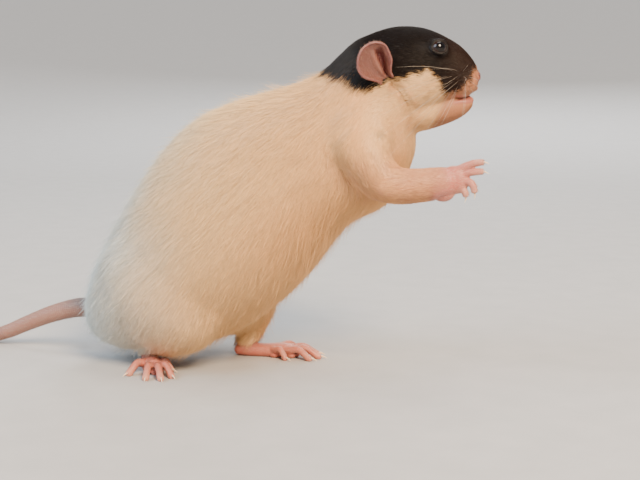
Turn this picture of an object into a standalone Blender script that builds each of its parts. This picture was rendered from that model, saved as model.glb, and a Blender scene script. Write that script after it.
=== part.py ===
"""A dumbo rat, life size, rearing forward off its haunches with one forepaw held out.

Metres, +Z up, +X the way the rat faces, +Y its left. The body is modelled whole, fused and
smoothed, then parted by thin cuts into the pieces that a person would name.
"""

import math

import bmesh
import bpy
from mathutils import Matrix, Vector

MM = 0.001
GAP = 0.3 * MM

# Coat and skin colours: base colour, roughness.
COAT_WHITE = ((0.80, 0.72, 0.60), 0.85)
COAT_DARK = ((0.055, 0.045, 0.045), 0.80)
PINK_SKIN = ((0.72, 0.40, 0.34), 0.55)
TAIL_SKIN = ((0.62, 0.42, 0.36), 0.65)
EYE_BLACK = ((0.012, 0.008, 0.008), 0.08)

# Fineness of the fused body.
BODY_VOXEL = 0.8 * MM
BODY_SMOOTHING = 24
FACE_SMOOTHING = 0.25
"""The share of the body's smoothing that reaches the face, hands and feet."""
BODY_TRIANGLES = 5000
PAW_VOXEL = 0.33 * MM
PAW_SMOOTHING = 2
FOOT_TRIANGLES = 620
HAND_TRIANGLES = 520

# Torso, tail root to neck: back x, z, belly x, z, half width, height of the widest level as
# a share of the depth. All but the last in millimetres.
TORSO = (
    (-46.0, 24.5, -46.0, 12.5, 6.0, 0.50),
    (-42.5, 33.5, -41.5, 7.2, 16.0, 0.50),
    (-34.8, 50.0, -27.5, 3.6, 24.5, 0.42),
    (-21.0, 72.3, -5.0, 5.8, 28.5, 0.38),
    (-4.0, 91.0, 20.0, 17.3, 29.5, 0.38),
    (15.0, 99.8, 40.0, 34.8, 27.0, 0.40),
    (33.0, 104.6, 56.0, 54.7, 23.0, 0.42),
    (46.0, 109.8, 71.5, 63.2, 19.8, 0.45),
    (54.0, 116.6, 80.6, 78.8, 16.8, 0.50),
    (60.0, 121.6, 80.7, 89.0, 15.0, 0.50),
    (64.0, 122.8, 81.8, 96.0, 13.3, 0.50),
)

# The head has its own frame: forward from its pivot in the neck, left, up.
HEAD_PIVOT = Vector((67.2, 0.0, 110.9)) * MM
HEAD_TURN = 18.0
# Skull and muzzle: forward, top, bottom, half width, widest level.
SKULL = (
    (-9.0, 9.2, -16.0, 11.5, 0.50),
    (-2.0, 12.8, -19.0, 13.3, 0.45),
    (6.0, 15.0, -19.5, 14.1, 0.42),
    (13.0, 15.1, -18.0, 13.4, 0.42),
    (19.0, 13.8, -15.5, 11.8, 0.42),
    (25.0, 11.0, -12.2, 9.6, 0.42),
    (29.5, 8.1, -9.8, 7.8, 0.45),
    (33.0, 4.5, -8.6, 6.0, 0.50),
    (35.6, 0.6, -7.2, 3.4, 0.50),
)
JAW = (
    (4.0, -4.0, -20.5, 11.0, 0.50),
    (12.0, -6.0, -22.2, 10.0, 0.45),
    (19.0, -8.0, -21.2, 8.0, 0.45),
    (26.0, -8.6, -18.8, 5.8, 0.50),
    (31.0, -9.1, -16.2, 4.4, 0.50),
    (34.0, -9.6, -13.2, 2.6, 0.50),
)
# Paired swellings of the head: centre forward, side, up, then the three radii.
CHEEK = (9.0, 7.8, -5.0, 11.5, 6.8, 10.0)
WHISKER_PAD = (29.2, 4.3, -4.6, 6.0, 4.1, 5.0)
NOSE_PAD = (34.4, 0.0, -2.2, 2.0, 2.8, 2.6)

EYE_CENTRE = (20.6, 8.5, 7.2)
EYE_RADIUS = 3.0 * MM
EYE_AXIS = (0.26, 0.93, 0.22)
LID_RADIUS = 3.9 * MM
LID_OUT = 1.9 * MM
"""The rim of the lids lies this far out from the eye's centre."""

NOSTRIL = (35.9, 1.5, -1.9)
NOSTRIL_RADIUS = 0.62 * MM
MOUTH_LINE = (
    (34.6, 0.0, -9.3),
    (33.4, 2.2, -9.7),
    (31.0, 4.2, -10.1),
    (28.2, 5.7, -10.2),
    (25.4, 7.0, -10.8),
)
MOUTH_GROOVE = 0.5 * MM
PHILTRUM = ((36.4, 0.0, -3.2), (36.2, 0.0, -6.2), (34.9, 0.0, -9.3))

# A dumbo ear, as seen from its concave side: root, length, half width, cup depth, and the way
# it points and faces in the head's frame for the rat's left.
EAR_ROOT = (2.0, 13.7, -3.2)
EAR_POINTS = (-0.44, 0.34, 0.83)
EAR_FACES = (0.34, 0.92, -0.16)
EAR_LENGTH = 14.9 * MM
EAR_HALF_WIDTH = 6.9 * MM
EAR_BASE = 0.50
"""The share of its half width that the ear has at its root."""
EAR_LEAN = 1.5 * MM
"""How far the round of the ear lies behind the line through its root."""
EAR_CUP = 3.4 * MM
EAR_THICKNESS = 1.0 * MM
EAR_ROLL = (78.0, 58.0, 34.0, 26.0)
"""Half angle, from root to top, that the ear's sheet rolls through round its long line."""
EAR_SUNK = 0.03
"""How far the ear runs on below its root, into the head, as a share of its length."""
EAR_ROWS = 13
EAR_COLUMNS = 10

# Hind legs: each side's thigh, knee, ankle and foot. The left one stands further forward.
LEGS = {
    "right": {
        "side": -1,
        "thigh": (-11.5, 15.5, 28.5, 27.0, 15.0, 20.0, -34.0),
        "knee": (1.0, 18.8, 16.6, 7.4),
        "ankle": (-18.5, 10.0, 8.6, 5.2),
        "heel": (-21.0, 5.0),
        "splay": 60.0,
    },
    "left": {
        "side": 1,
        "thigh": (-1.0, 15.5, 29.0, 26.0, 15.0, 19.0, -30.0),
        "knee": (14.0, 18.8, 18.0, 7.4),
        "ankle": (11.0, 17.5, 8.6, 5.2),
        "heel": (8.5, 16.2),
        "splay": 8.0,
    },
}
FOOT_LENGTH = 22.0 * MM
# Toes from the inner to the outer: root forward as a share of the foot, root sideways, spread
# in degrees, length, radius.
TOES = (
    (0.66, 3.6, 36.0, 6.0, 1.20),
    (0.92, 3.1, 19.0, 9.2, 1.35),
    (1.00, 1.0, 4.0, 10.0, 1.40),
    (0.95, -1.5, -14.0, 9.6, 1.40),
    (0.72, -3.6, -46.0, 8.6, 1.45),
)

# Along a toe: share of its length, height above its root, share of its radius. Its pad is on
# the floor.
TOE_ARCH = ((0.0, 0.3, 1.12), (0.36, 0.8, 0.98), (0.70, -1.0, 0.92), (0.86, -2.05, 1.0), (1.0, -2.2, 0.8))

# The foot's sole as forward, sideways, up and radius, its pads, and how high claws are rooted.
SOLE = (
    (-2.6, 0.2, 2.6, 1.2),
    (-1.6, 0.2, 2.5, 2.3),
    (3.0, 0.1, 2.4, 2.65),
    (9.0, 0.0, 2.3, 2.55),
    (15.0, 0.1, 2.5, 2.8),
    (20.5, 0.3, 2.7, 2.5),
)
SOLE_WIDTH = 1.3
PADS = ((20.4, 2.6), (21.6, 0.2), (20.2, -2.2), (15.0, -2.6), (13.5, 2.6))
PAD_RADII = (1.7, 1.3, 1.35)
CLAW_LIFT = Vector((0.0, 0.0, 0.35)) * MM
CLAW_LENGTH = 2.4 * MM
CLAW_RADIUS = 0.5 * MM
FINGER_CLAW = 1.9 * MM
FINGER_CLAW_RADIUS = 0.42 * MM
CLAW_SIDES = 5

# Forelegs: shoulder, elbow, wrist, each x, side, z and radius; where the forearm begins; the
# upper arm's region as centre, radii and pitch; fingers as joints forward, out and up from the
# wrist, and a radius.
ARMS = {
    "right": {
        "side": -1,
        "shoulder": (63.0, 13.5, 86.0, 10.5),
        "elbow": (76.5, 18.5, 72.2, 7.1),
        "wrist": (95.5, 17.5, 73.3, 5.1),
        "cut": 81.5,
        "region": (71.0, 21.5, 77.0, 22.0, 15.0, 15.0, -47.0),
        "fingers": (
            ((6.4, 0.0, 5.0), (10.2, 0.2, 6.6), (13.6, 0.6, 7.1), 1.32),
            ((6.8, 0.2, 3.0), (10.4, 0.5, 3.8), (13.6, 0.8, 4.0), 1.30),
            ((6.6, 0.3, 0.8), (9.8, 0.9, -0.2), (10.8, 0.8, -3.2), 1.35),
            ((5.4, 0.1, -1.8), (7.4, 0.6, -3.0), (7.7, 0.4, -4.6), 1.28),
        ),
    },
    "left": {
        "side": 1,
        "shoulder": (60.0, 13.5, 85.0, 10.5),
        "elbow": (65.5, 17.0, 69.8, 7.2),
        "wrist": (80.5, 12.0, 70.0, 4.7),
        "cut": 74.5,
        "region": (63.0, 21.5, 77.0, 20.0, 15.0, 15.0, -60.0),
        "fingers": (
            ((6.2, 0.0, 3.6), (10.0, 0.2, 4.6), (12.8, 0.6, 4.2), 1.20),
            ((6.8, 0.2, 1.8), (10.8, 0.5, 2.2), (13.6, 0.8, 1.4), 1.20),
            ((6.6, 0.3, -0.4), (10.4, 0.6, -0.8), (13.0, 0.8, -1.8), 1.15),
            ((5.4, 0.1, -2.2), (8.4, 0.4, -3.0), (10.4, 0.5, -3.6), 1.10),
        ),
    },
}
SHOULDER_RADII = (13.0, 8.5, 15.0)
SHOULDER_PITCH = 35.0
# A hand held out, its back to the side: palm's centre and radii, the thumb's centre and radius, and
# the pad at the heel of the hand, as the palm.
PALM = (3.8, 0.0, 0.9, 5.0, 2.5, 4.8)
THUMB = (1.8, -1.6, 4.4, 1.1)
HEEL_PAD = (-0.2, 0.0, -3.1, 4.2, 2.6, 3.5)
WRIST = (((-3.0, 0.0, 0.0), 3.9), ((0.5, 0.0, 0.2), 3.9), ((3.5, 0.0, 0.6), 3.6))
WRIST_WIDTH = 0.72

# Tail: x, y, z, radius. Where it lies down its underside is flat on the floor.
TAIL = (
    (-38.0, 0.0, 19.6, 4.3),
    (-45.0, 0.0, 18.6, 4.0),
    (-54.0, 0.1, 18.0, 3.7),
    (-65.0, 0.6, 15.0, 3.35),
    (-77.0, 1.6, 10.3, 3.0),
    (-88.5, 3.0, 5.4, 2.75),
    (-100.0, 5.0, 2.25, 2.5),
    (-116.0, 7.6, 1.84, 2.2),
    (-134.0, 8.4, 1.59, 1.9),
    (-152.0, 6.4, 1.34, 1.6),
    (-169.0, 1.8, 1.0, 1.2),
    (-184.0, -4.6, 0.58, 0.7),
)
TAIL_CUTS = (-92.0, -140.0)
TAIL_SIDES = 12


def clear_scene():
    for obj in list(bpy.data.objects):
        bpy.data.objects.remove(obj)


def material(name, look):
    colour, roughness = look
    made = bpy.data.materials.new(name)
    made.use_nodes = True
    shader = made.node_tree.nodes["Principled BSDF"]
    shader.inputs["Base Color"].default_value = (*colour, 1.0)
    shader.inputs["Roughness"].default_value = roughness
    shader.inputs["Metallic"].default_value = 0.0
    return made


def add_object(name, mesh):
    obj = bpy.data.objects.new(name, mesh)
    bpy.context.scene.collection.objects.link(obj)
    return obj


def mesh_from(name, bm):
    bmesh.ops.recalc_face_normals(bm, faces=bm.faces[:])
    mesh = bpy.data.meshes.new(name)
    bm.to_mesh(mesh)
    bm.free()
    return mesh


def smooth_path(points, per_span=6):
    """Catmull-Rom through points of any dimension, each a tuple of numbers."""
    ends = [points[0], *points, points[-1]]
    path = []
    for a, b, c, d in zip(ends, ends[1:], ends[2:], ends[3:]):
        for step in range(per_span):
            t = step / per_span
            path.append([catmull(*four, t) for four in zip(a, b, c, d)])
    path.append(list(points[-1]))
    return path


def catmull(a, b, c, d, t):
    square = 2 * a - 5 * b + 4 * c - d
    cube = 3 * b - a - 3 * c + d
    return 0.5 * (2 * b + (c - a) * t + square * t * t + cube * t ** 3)


def skin_rings(name, rings):
    """A closed mesh through rings of points, with each end closed by a fan."""
    bm = bmesh.new()
    made = [[bm.verts.new(p) for p in ring] for ring in rings]
    count = len(rings[0])
    for a, b in zip(made, made[1:]):
        for i in range(count):
            j = (i + 1) % count
            bm.faces.new((a[i], a[j], b[j], b[i]))
    for ring in (made[0], made[-1]):
        centre = bm.verts.new(sum((v.co for v in ring), Vector()) / count)
        for i in range(count):
            bm.faces.new((ring[i], ring[(i + 1) % count], centre))
    return mesh_from(name, bm)


def oval(top, bottom, side, half_width, widest, count=32):
    """A closed section: two half ellipses that meet at the widest level."""
    middle = bottom.lerp(top, widest)
    ring = []
    for i in range(count):
        angle = math.tau * i / count
        reach = (top - middle) if math.sin(angle) >= 0 else (middle - bottom)
        ring.append(middle + side * (half_width * math.cos(angle)) + reach * math.sin(angle))
    return ring


def torso_mesh():
    rings = []
    for back_x, back_z, belly_x, belly_z, half, widest in smooth_path(TORSO):
        top = Vector((back_x, 0, back_z)) * MM
        bottom = Vector((belly_x, 0, belly_z)) * MM
        rings.append(oval(top, bottom, Vector((0, 1, 0)), half * MM, widest))
    return skin_rings("torso", rings)


def head_frame():
    return Matrix.Translation(HEAD_PIVOT) @ Matrix.Rotation(math.radians(HEAD_TURN), 4, "Z")


def head_loft(name, stations):
    rings = []
    for forward, top, bottom, half, widest in smooth_path(stations):
        up = Vector((forward, 0, top)) * MM
        down = Vector((forward, 0, bottom)) * MM
        rings.append(oval(up, down, Vector((0, 1, 0)), half * MM, widest))
    mesh = skin_rings(name, rings)
    mesh.transform(head_frame())
    return mesh


def ellipsoid(centre, radii, turn=None, detail=3):
    """An ellipsoid mesh: centre and radii in metres, turn a rotation about its centre."""
    bm = bmesh.new()
    bmesh.ops.create_icosphere(bm, subdivisions=detail, radius=1.0)
    size = Matrix.Diagonal((*radii, 1.0))
    bm.transform(Matrix.Translation(centre) @ (turn or Matrix.Identity(4)) @ size)
    return mesh_from("ellipsoid", bm)


def head_swelling(numbers, side, frame):
    forward, out, up, *radii = numbers
    mesh = ellipsoid(Vector((forward, out * side, up)) * MM, [r * MM for r in radii])
    mesh.transform(frame)
    return mesh


def tube(points, radii, sides=12, flat=1.0):
    """A closed tube through points; flat below 1 thins it across its own side direction."""
    count = len(points)
    across = Vector((0, 1, 0))
    rings = []
    for i in range(count):
        along = (points[min(i + 1, count - 1)] - points[max(i - 1, 0)]).normalized()
        across = (across - along * across.dot(along)).normalized()
        lift = along.cross(across)
        rings.append(
            [
                points[i] + (across * math.cos(a) * flat + lift * math.sin(a)) * radii[i]
                for a in (math.tau * k / sides for k in range(sides))
            ]
        )
    return skin_rings("tube", rings)


def limb(stations, side, sides=20):
    """A round limb through stations of x, side, z and radius in millimetres."""
    path = smooth_path(stations, 5)
    points = [Vector((x, y * side, z)) * MM for x, y, z, _ in path]
    return tube(points, [r * MM for *_, r in path], sides)


def joined(name, meshes):
    bm = bmesh.new()
    for mesh in meshes:
        bm.from_mesh(mesh)
        bpy.data.meshes.remove(mesh)
    mesh = bpy.data.meshes.new(name)
    bm.to_mesh(mesh)
    bm.free()
    return add_object(name, mesh)


def applied(obj):
    """The object's modifiers become its mesh."""
    graph = bpy.context.evaluated_depsgraph_get()
    mesh = bpy.data.meshes.new_from_object(obj.evaluated_get(graph))
    obj.modifiers.clear()
    obj.data = mesh
    return obj


def fused(obj, voxel, smoothing, triangles, share=None):
    """Overlapping shapes become one smooth surface of about that many triangles.

    share, if given, says how much of the smoothing reaches a point.
    """
    remesh = obj.modifiers.new("Fuse", "REMESH")
    remesh.mode = "VOXEL"
    remesh.voxel_size = voxel
    applied(obj)
    smooth = obj.modifiers.new("Smooth", "SMOOTH")
    smooth.factor = 0.5
    smooth.iterations = smoothing
    if share:
        group = obj.vertex_groups.new(name="share")
        for vert in obj.data.vertices:
            group.add([vert.index], share(vert.co), "REPLACE")
        smooth.vertex_group = group.name
    applied(obj)
    obj.vertex_groups.clear()
    thin = obj.modifiers.new("Thin", "DECIMATE")
    thin.use_collapse_triangulate = True
    thin.ratio = min(1.0, triangles / (2 * len(obj.data.polygons)))
    return keep_largest(applied(obj))


def keep_largest(obj):
    """Leaves only the largest closed surface of the mesh."""
    bm = bmesh.new()
    bm.from_mesh(obj.data)
    left, groups = set(bm.verts), []
    while left:
        seed = left.pop()
        group, edge = {seed}, [seed]
        while edge:
            for link in edge.pop().link_edges:
                for vert in link.verts:
                    if vert in left:
                        left.discard(vert)
                        group.add(vert)
                        edge.append(vert)
        groups.append(group)
    groups.sort(key=len)
    scraps = [v for group in groups[:-1] for v in group]
    bmesh.ops.delete(bm, geom=scraps, context="VERTS")
    bm.to_mesh(obj.data)
    bm.free()
    return obj


def combine(obj, meshes, operation):
    """One Boolean with a collection of closed meshes, applied; the collection then goes."""
    group = bpy.data.collections.new("operands")
    bpy.context.scene.collection.children.link(group)
    for i, mesh in enumerate(meshes):
        group.objects.link(bpy.data.objects.new(f"operand_{i}", mesh))
    cut = obj.modifiers.new("Combine", "BOOLEAN")
    cut.operation = operation
    cut.operand_type = "COLLECTION"
    cut.collection = group
    applied(obj)
    for other in list(group.objects):
        bpy.data.objects.remove(other)
    bpy.data.collections.remove(group)
    return keep_largest(obj)


def copy_of(obj, name):
    return add_object(name, obj.data.copy())


def grown(mesh, distance):
    """The mesh pushed out along its normals, to cut a neighbour back by a gap."""
    bm = bmesh.new()
    bm.from_mesh(mesh)
    bm.normal_update()
    for vert in bm.verts:
        vert.co += vert.normal * distance
    out = bpy.data.meshes.new("grown")
    bm.to_mesh(out)
    bm.free()
    return out


def slab(centre, forward, low, high, half=60 * MM):
    """A block across the line through centre along forward, from low to high on it."""
    bm = bmesh.new()
    bmesh.ops.create_cube(bm, size=1.0)
    size = Matrix.Diagonal((high - low, 2 * half, 2 * half, 1.0))
    turn = forward.to_track_quat("X", "Z").to_matrix().to_4x4()
    bm.transform(Matrix.Translation(centre) @ turn @ Matrix.Translation(((low + high) / 2, 0, 0)) @ size)
    return mesh_from("slab", bm)


def leg_meshes(leg):
    side = leg["side"]
    x, y, z, length, width, height, pitch = leg["thigh"]
    turn = Matrix.Rotation(math.radians(-pitch), 4, "Y")
    thigh = ellipsoid(Vector((x, y * side, z)) * MM, [r * MM for r in (length, width, height)], turn)
    shank = limb((leg["knee"], leg["ankle"]), side)
    kx, ky, kz, kr = leg["knee"]
    knee = ellipsoid(Vector((kx, ky * side, kz)) * MM, [kr * MM] * 3)
    return [thigh, shank, knee]


def arm_meshes(arm):
    turn = Matrix.Rotation(math.radians(SHOULDER_PITCH), 4, "Y")
    centre = mirrored(arm["shoulder"][:3], arm["side"]) * MM
    shoulder = ellipsoid(centre, [r * MM for r in SHOULDER_RADII], turn)
    return [shoulder, limb((arm["shoulder"], arm["elbow"], arm["wrist"]), arm["side"])]


def ramp(value, low, high):
    t = min(1.0, max(0.0, (value - low) / (high - low)))
    return t * t * (3 - 2 * t)


def smoothing_share(point):
    """Full on the trunk, less on the muzzle and towards the wrists."""
    in_head = head_frame().inverted() @ point
    face = ramp(in_head.x, 10 * MM, 24 * MM) * ramp(in_head.z, -30 * MM, -22 * MM)
    wrist = ramp(point.x, 80 * MM, 90 * MM) * ramp(-in_head.z, 26 * MM, 32 * MM)
    ankle = ramp(-point.z, -14 * MM, -8 * MM)
    return 1.0 - (1.0 - FACE_SMOOTHING) * max(face, wrist, ankle)


def whole_body():
    frame = head_frame()
    meshes = [torso_mesh(), head_loft("skull", SKULL), head_loft("jaw", JAW)]
    meshes += [head_swelling(part, s, frame) for part in (CHEEK, WHISKER_PAD) for s in (1, -1)]
    meshes.append(head_swelling(NOSE_PAD, 1, frame))
    meshes += [mesh for leg in LEGS.values() for mesh in leg_meshes(leg)]
    meshes += [mesh for arm in ARMS.values() for mesh in arm_meshes(arm)]
    return fused(joined("body", meshes), BODY_VOXEL, BODY_SMOOTHING, BODY_TRIANGLES, smoothing_share)


# Where the whole body is parted: a point, the way the piece lies from it, and the reach of the
# cut to each side of the point.
HEAD_CUT = ((7.0, 0.0, -2.5), (0.868, 0.0, 0.496), 27.0)
NECK_CUT = ((65.0, 0.0, 97.0), (0.526, 0.0, 0.85), 40.0)
CHEST_CUT = ((36.0, 0.0, 73.0), (0.922, 0.0, 0.388), 60.0)
RUMP_CUT = ((-17.0, 0.0, 36.0), (-0.974, 0.0, -0.224), 60.0)
CUT_LENGTH = 90 * MM
SLEEVE_RADIUS = 7.6 * MM
SLEEVE_SIDES = 24
# The hind legs' own regions: centre x, side, z, radii and pitch.
HIND_LEGS = {
    "right": (-11.0, 29.0, 22.5, 26.5, 16.5, 24.0, -16.0),
    "left": (1.5, 29.0, 23.0, 26.5, 16.5, 24.0, -16.0),
}


def cut_block(cut, start, frame=None):
    """The block that a cut's piece lies in, beginning at start past the cut."""
    centre, forward, reach = cut
    mesh = slab(Vector(centre) * MM, Vector(forward), start, CUT_LENGTH, reach * MM)
    if frame:
        mesh.transform(frame)
    return mesh


def region(numbers, side, extra):
    """The ellipsoid that holds a limb, grown by extra."""
    x, y, z, length, width, height, pitch = numbers
    turn = Matrix.Rotation(math.radians(-pitch), 4, "Y")
    radii = [r * MM + extra for r in (length, width, height)]
    return ellipsoid(Vector((x, y * side, z)) * MM, radii, turn, detail=2)


def forearm_sleeve(arm, extra):
    """The tube that holds a forearm from its cut to past the wrist, grown by extra."""
    elbow = mirrored(arm["elbow"][:3], arm["side"]) * MM
    wrist = mirrored(arm["wrist"][:3], arm["side"]) * MM
    along = (wrist - elbow).normalized()
    start = elbow + along * ((arm["cut"] * MM - elbow.x) / along.x - extra)
    radius = SLEEVE_RADIUS + extra
    return tube([start, wrist, wrist + along * 12 * MM], [radius] * 3, SLEEVE_SIDES)


def part_off(rest, name, inner, outer):
    """Parts a named piece from the rest: inner holds the piece, outer is inner and the gap."""
    piece = combine(copy_of(rest, name), [inner], "INTERSECT")
    combine(rest, [outer], "DIFFERENCE")
    return piece


def part_body(body):
    """The whole body as named pieces."""
    frame = head_frame()
    half = GAP / 2
    part_off(body, "head", cut_block(HEAD_CUT, half, frame), cut_block(HEAD_CUT, -half, frame))
    part_off(body, "neck", cut_block(NECK_CUT, half), cut_block(NECK_CUT, -half))
    for name, arm in ARMS.items():
        side = arm["side"]
        part_off(body, f"forearm_{name}", forearm_sleeve(arm, 0), forearm_sleeve(arm, GAP))
        part_off(body, f"upper_arm_{name}", region(arm["region"], side, 0), region(arm["region"], side, GAP))
    for name, leg in LEGS.items():
        side, numbers = leg["side"], HIND_LEGS[name]
        part_off(body, f"hind_leg_{name}", region(numbers, side, 0), region(numbers, side, GAP))
    part_off(body, "chest", cut_block(CHEST_CUT, half), cut_block(CHEST_CUT, -half))
    part_off(body, "rump", cut_block(RUMP_CUT, half), cut_block(RUMP_CUT, -half))
    body.name = "belly"


def mirrored(point, side):
    return Vector((point[0], point[1] * side, point[2]))


def eye_place(side):
    """The eye's centre and the way it looks, in the world."""
    frame = head_frame()
    centre = frame @ (mirrored(EYE_CENTRE, side) * MM)
    axis = (frame.to_3x3() @ mirrored(EYE_AXIS, side)).normalized()
    return centre, axis


def groove(points, radius, frame):
    """A round cutter along a smooth line through points of the head's frame."""
    path = [frame @ (Vector(p) * MM) for p in smooth_path(points, 3)]
    return tube(path, [radius] * len(path), 6)


def dress_head(head):
    """Lids on, opened in a rim, then sockets, nostrils, mouth line and cleft lip cut."""
    frame = head_frame()
    added = []
    cuts = [groove(PHILTRUM, MOUTH_GROOVE * 0.7, frame)]
    for side in (1, -1):
        centre, axis = eye_place(side)
        added.append(ellipsoid(centre, [LID_RADIUS] * 3, detail=2))
        cuts.append(slab(centre, axis, LID_OUT, 2 * LID_RADIUS, LID_RADIUS))
        cuts.append(ellipsoid(centre, [EYE_RADIUS + GAP] * 3, detail=2))
        cuts.append(ellipsoid(frame @ (mirrored(NOSTRIL, side) * MM), [NOSTRIL_RADIUS] * 3, detail=1))
        line = [mirrored(p, side) for p in MOUTH_LINE]
        cuts.append(groove(line, MOUTH_GROOVE, frame))
    combine(head, added, "UNION")
    combine(head, cuts, "DIFFERENCE")


def add_eyes():
    for name, side in (("eye_left", 1), ("eye_right", -1)):
        centre, _ = eye_place(side)
        add_object(name, ellipsoid(centre, [EYE_RADIUS] * 3, detail=2))


def ear_point(u, v, root, along, across, faces, lean):
    """A point of the ear's sheet: u from edge to edge, v from root to top."""
    wide = EAR_BASE + (1 - EAR_BASE) * ramp(v, 0.02, 0.45)
    top = max(0.0, (v - 0.55) / 0.45)
    half = EAR_HALF_WIDTH * wide * math.sqrt(max(0.02, 1 - top * top))
    place = max(0.0, v) * (len(EAR_ROLL) - 1)
    low = min(int(place), len(EAR_ROLL) - 2)
    roll = math.radians(EAR_ROLL[low] + (EAR_ROLL[low + 1] - EAR_ROLL[low]) * (place - low))
    bend = half / roll
    sideways = bend * math.sin(roll * u) + lean * math.sin(math.pi * min(max(v, 0.0), 0.75))
    forward = bend * (1 - math.cos(roll * u)) + EAR_CUP * (v * v - 0.35 * v)
    return root + along * (EAR_LENGTH * v) + across * sideways + faces * forward


def ear_mesh(side):
    frame = head_frame()
    turn = frame.to_3x3()
    root = frame @ (mirrored(EAR_ROOT, side) * MM)
    along = (turn @ mirrored(EAR_POINTS, side)).normalized()
    faces = turn @ mirrored(EAR_FACES, side)
    faces = (faces - along * faces.dot(along)).normalized()
    across = along.cross(faces)
    lean = EAR_LEAN if across.x < 0 else -EAR_LEAN
    bm = bmesh.new()
    rows = [r / EAR_ROWS * (1 + EAR_SUNK) - EAR_SUNK for r in range(EAR_ROWS + 1)]
    columns = [2 * c / EAR_COLUMNS - 1 for c in range(EAR_COLUMNS + 1)]
    grid = [[bm.verts.new(ear_point(u, v, root, along, across, faces, lean)) for u in columns] for v in rows]
    for low, high in zip(grid, grid[1:]):
        for c in range(EAR_COLUMNS):
            bm.faces.new((low[c], low[c + 1], high[c + 1], high[c]))
    return mesh_from("ear", bm)


def add_ear(name, side, neighbours):
    ear = add_object(name, ear_mesh(side))
    thick = ear.modifiers.new("Thick", "SOLIDIFY")
    thick.thickness = EAR_THICKNESS
    thick.offset = 0.0
    applied(ear)
    for other in neighbours:
        combine(ear, [grown(other.data, GAP)], "DIFFERENCE")


def claw(base, along, down, length=CLAW_LENGTH, radius=CLAW_RADIUS):
    """A tapered claw that curves down from the tip of a toe."""
    steps = 4
    points, radii = [], []
    for i in range(steps + 1):
        t = i / steps
        points.append(base + along * (length * (1.15 * t - 0.15)) + down * (0.45 * length * t * t))
        radii.append(radius * (1 - 0.82 * t))
    return tube(points, radii, CLAW_SIDES)


def floor_block():
    """All that lies below the floor."""
    return slab(Vector((0, 0, 0)), Vector((0, 0, -1)), 0.0, 20 * MM, 200 * MM)


def foot_frame(leg):
    """Forward along the foot from the heel, its inner side to +Y for the right foot."""
    side = leg["side"]
    x, y = leg["heel"]
    turn = Matrix.Rotation(math.radians(leg["splay"] * side), 4, "Z")
    mirror = Matrix.Diagonal((1.0, -side, 1.0, 1.0))
    return Matrix.Translation(Vector((x, y * side, 0)) * MM) @ turn @ mirror


def toe_path(toe):
    """A toe from its root in the foot to its tip, arched, and the radii along it."""
    share, aside, spread, length, radius = toe
    root = Vector((share * FOOT_LENGTH / MM, aside, 3.0))
    away = Vector((math.cos(math.radians(spread)), math.sin(math.radians(spread)), 0))
    points = [root + away * -3.0]
    points += [root + away * (t * length) + Vector((0, 0, lift)) for t, lift, _ in TOE_ARCH]
    radii = [radius * 1.1] + [radius * share for *_, share in TOE_ARCH]
    return points, radii


def foot_meshes(leg):
    """The flesh of a hind foot and its claws, before they are fused."""
    frame = foot_frame(leg)
    x, y, z, _ = leg["ankle"]
    ankle = frame.inverted() @ (Vector((x, y * leg["side"], z)) * MM) / MM
    flesh = [tube([Vector(p[:3]) * MM for p in SOLE], [p[3] * MM for p in SOLE], 14, SOLE_WIDTH)]
    shank = [Vector((0.6, 0.2, 2.8)), Vector((1.4, 0.2, 5.0)), ankle]
    flesh.append(tube([p * MM for p in shank], [r * MM for r in (2.7, 2.8, 3.1)], 14))
    for x, y in PADS:
        flesh.append(ellipsoid(Vector((x, y, 1.2)) * MM, [r * MM for r in PAD_RADII], detail=2))
    claws = []
    for toe in TOES:
        points, radii = toe_path(toe)
        smooth = smooth_path([(*p, r) for p, r in zip(points, radii)], 3)
        flesh.append(tube([Vector(p[:3]) * MM for p in smooth], [p[3] * MM for p in smooth], 10))
        along = ((points[-1] - points[-2]) * Vector((1, 1, 0))).normalized()
        claws.append(claw(points[-1] * MM + CLAW_LIFT, along, Vector((0, 0, -0.8))))
    for mesh in flesh + claws:
        mesh.transform(frame)
        if leg["side"] == 1:
            mesh.flip_normals()
    return flesh, claws


def add_foot(name, leg, neighbours):
    flesh, claws = foot_meshes(leg)
    foot = fused(joined(name, flesh), PAW_VOXEL, PAW_SMOOTHING, FOOT_TRIANGLES)
    combine(foot, claws, "UNION")
    combine(foot, [floor_block()], "DIFFERENCE")
    for other in neighbours:
        combine(foot, [grown(other.data, GAP)], "DIFFERENCE")


def hand_meshes(arm):
    side = arm["side"]
    x, y, z, _ = arm["wrist"]
    frame = Matrix.Translation(Vector((x, y * side, z)) * MM)
    flesh = [
        ellipsoid(mirrored(PALM[:3], side) * MM, [r * MM for r in PALM[3:]], detail=2),
        ellipsoid(mirrored(HEEL_PAD[:3], side) * MM, [r * MM for r in HEEL_PAD[3:]], detail=2),
        tube([Vector(p) * MM for p, _ in WRIST], [r * MM for _, r in WRIST], 14, WRIST_WIDTH),
        ellipsoid(mirrored(THUMB[:3], side) * MM, [THUMB[3] * MM] * 3, detail=2),
    ]
    claws = []
    for *joints, radius in arm["fingers"]:
        line = [Vector((1.5, 0, joints[0][2] * 0.5)), *(mirrored(p, side) for p in joints)]
        smooth = smooth_path([(*p, radius * k) for p, k in zip(line, (1.15, 1.05, 0.95, 0.8))], 3)
        flesh.append(tube([Vector(p[:3]) * MM for p in smooth], [p[3] * MM for p in smooth], 10))
        along = (line[-1] - line[-2]).normalized()
        down = Vector((along.z, 0, -abs(along.x) - 0.2)).normalized()
        claws.append(claw(line[-1] * MM, along, down, FINGER_CLAW, FINGER_CLAW_RADIUS))
    for mesh in flesh + claws:
        mesh.transform(frame)
    return flesh, claws


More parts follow.
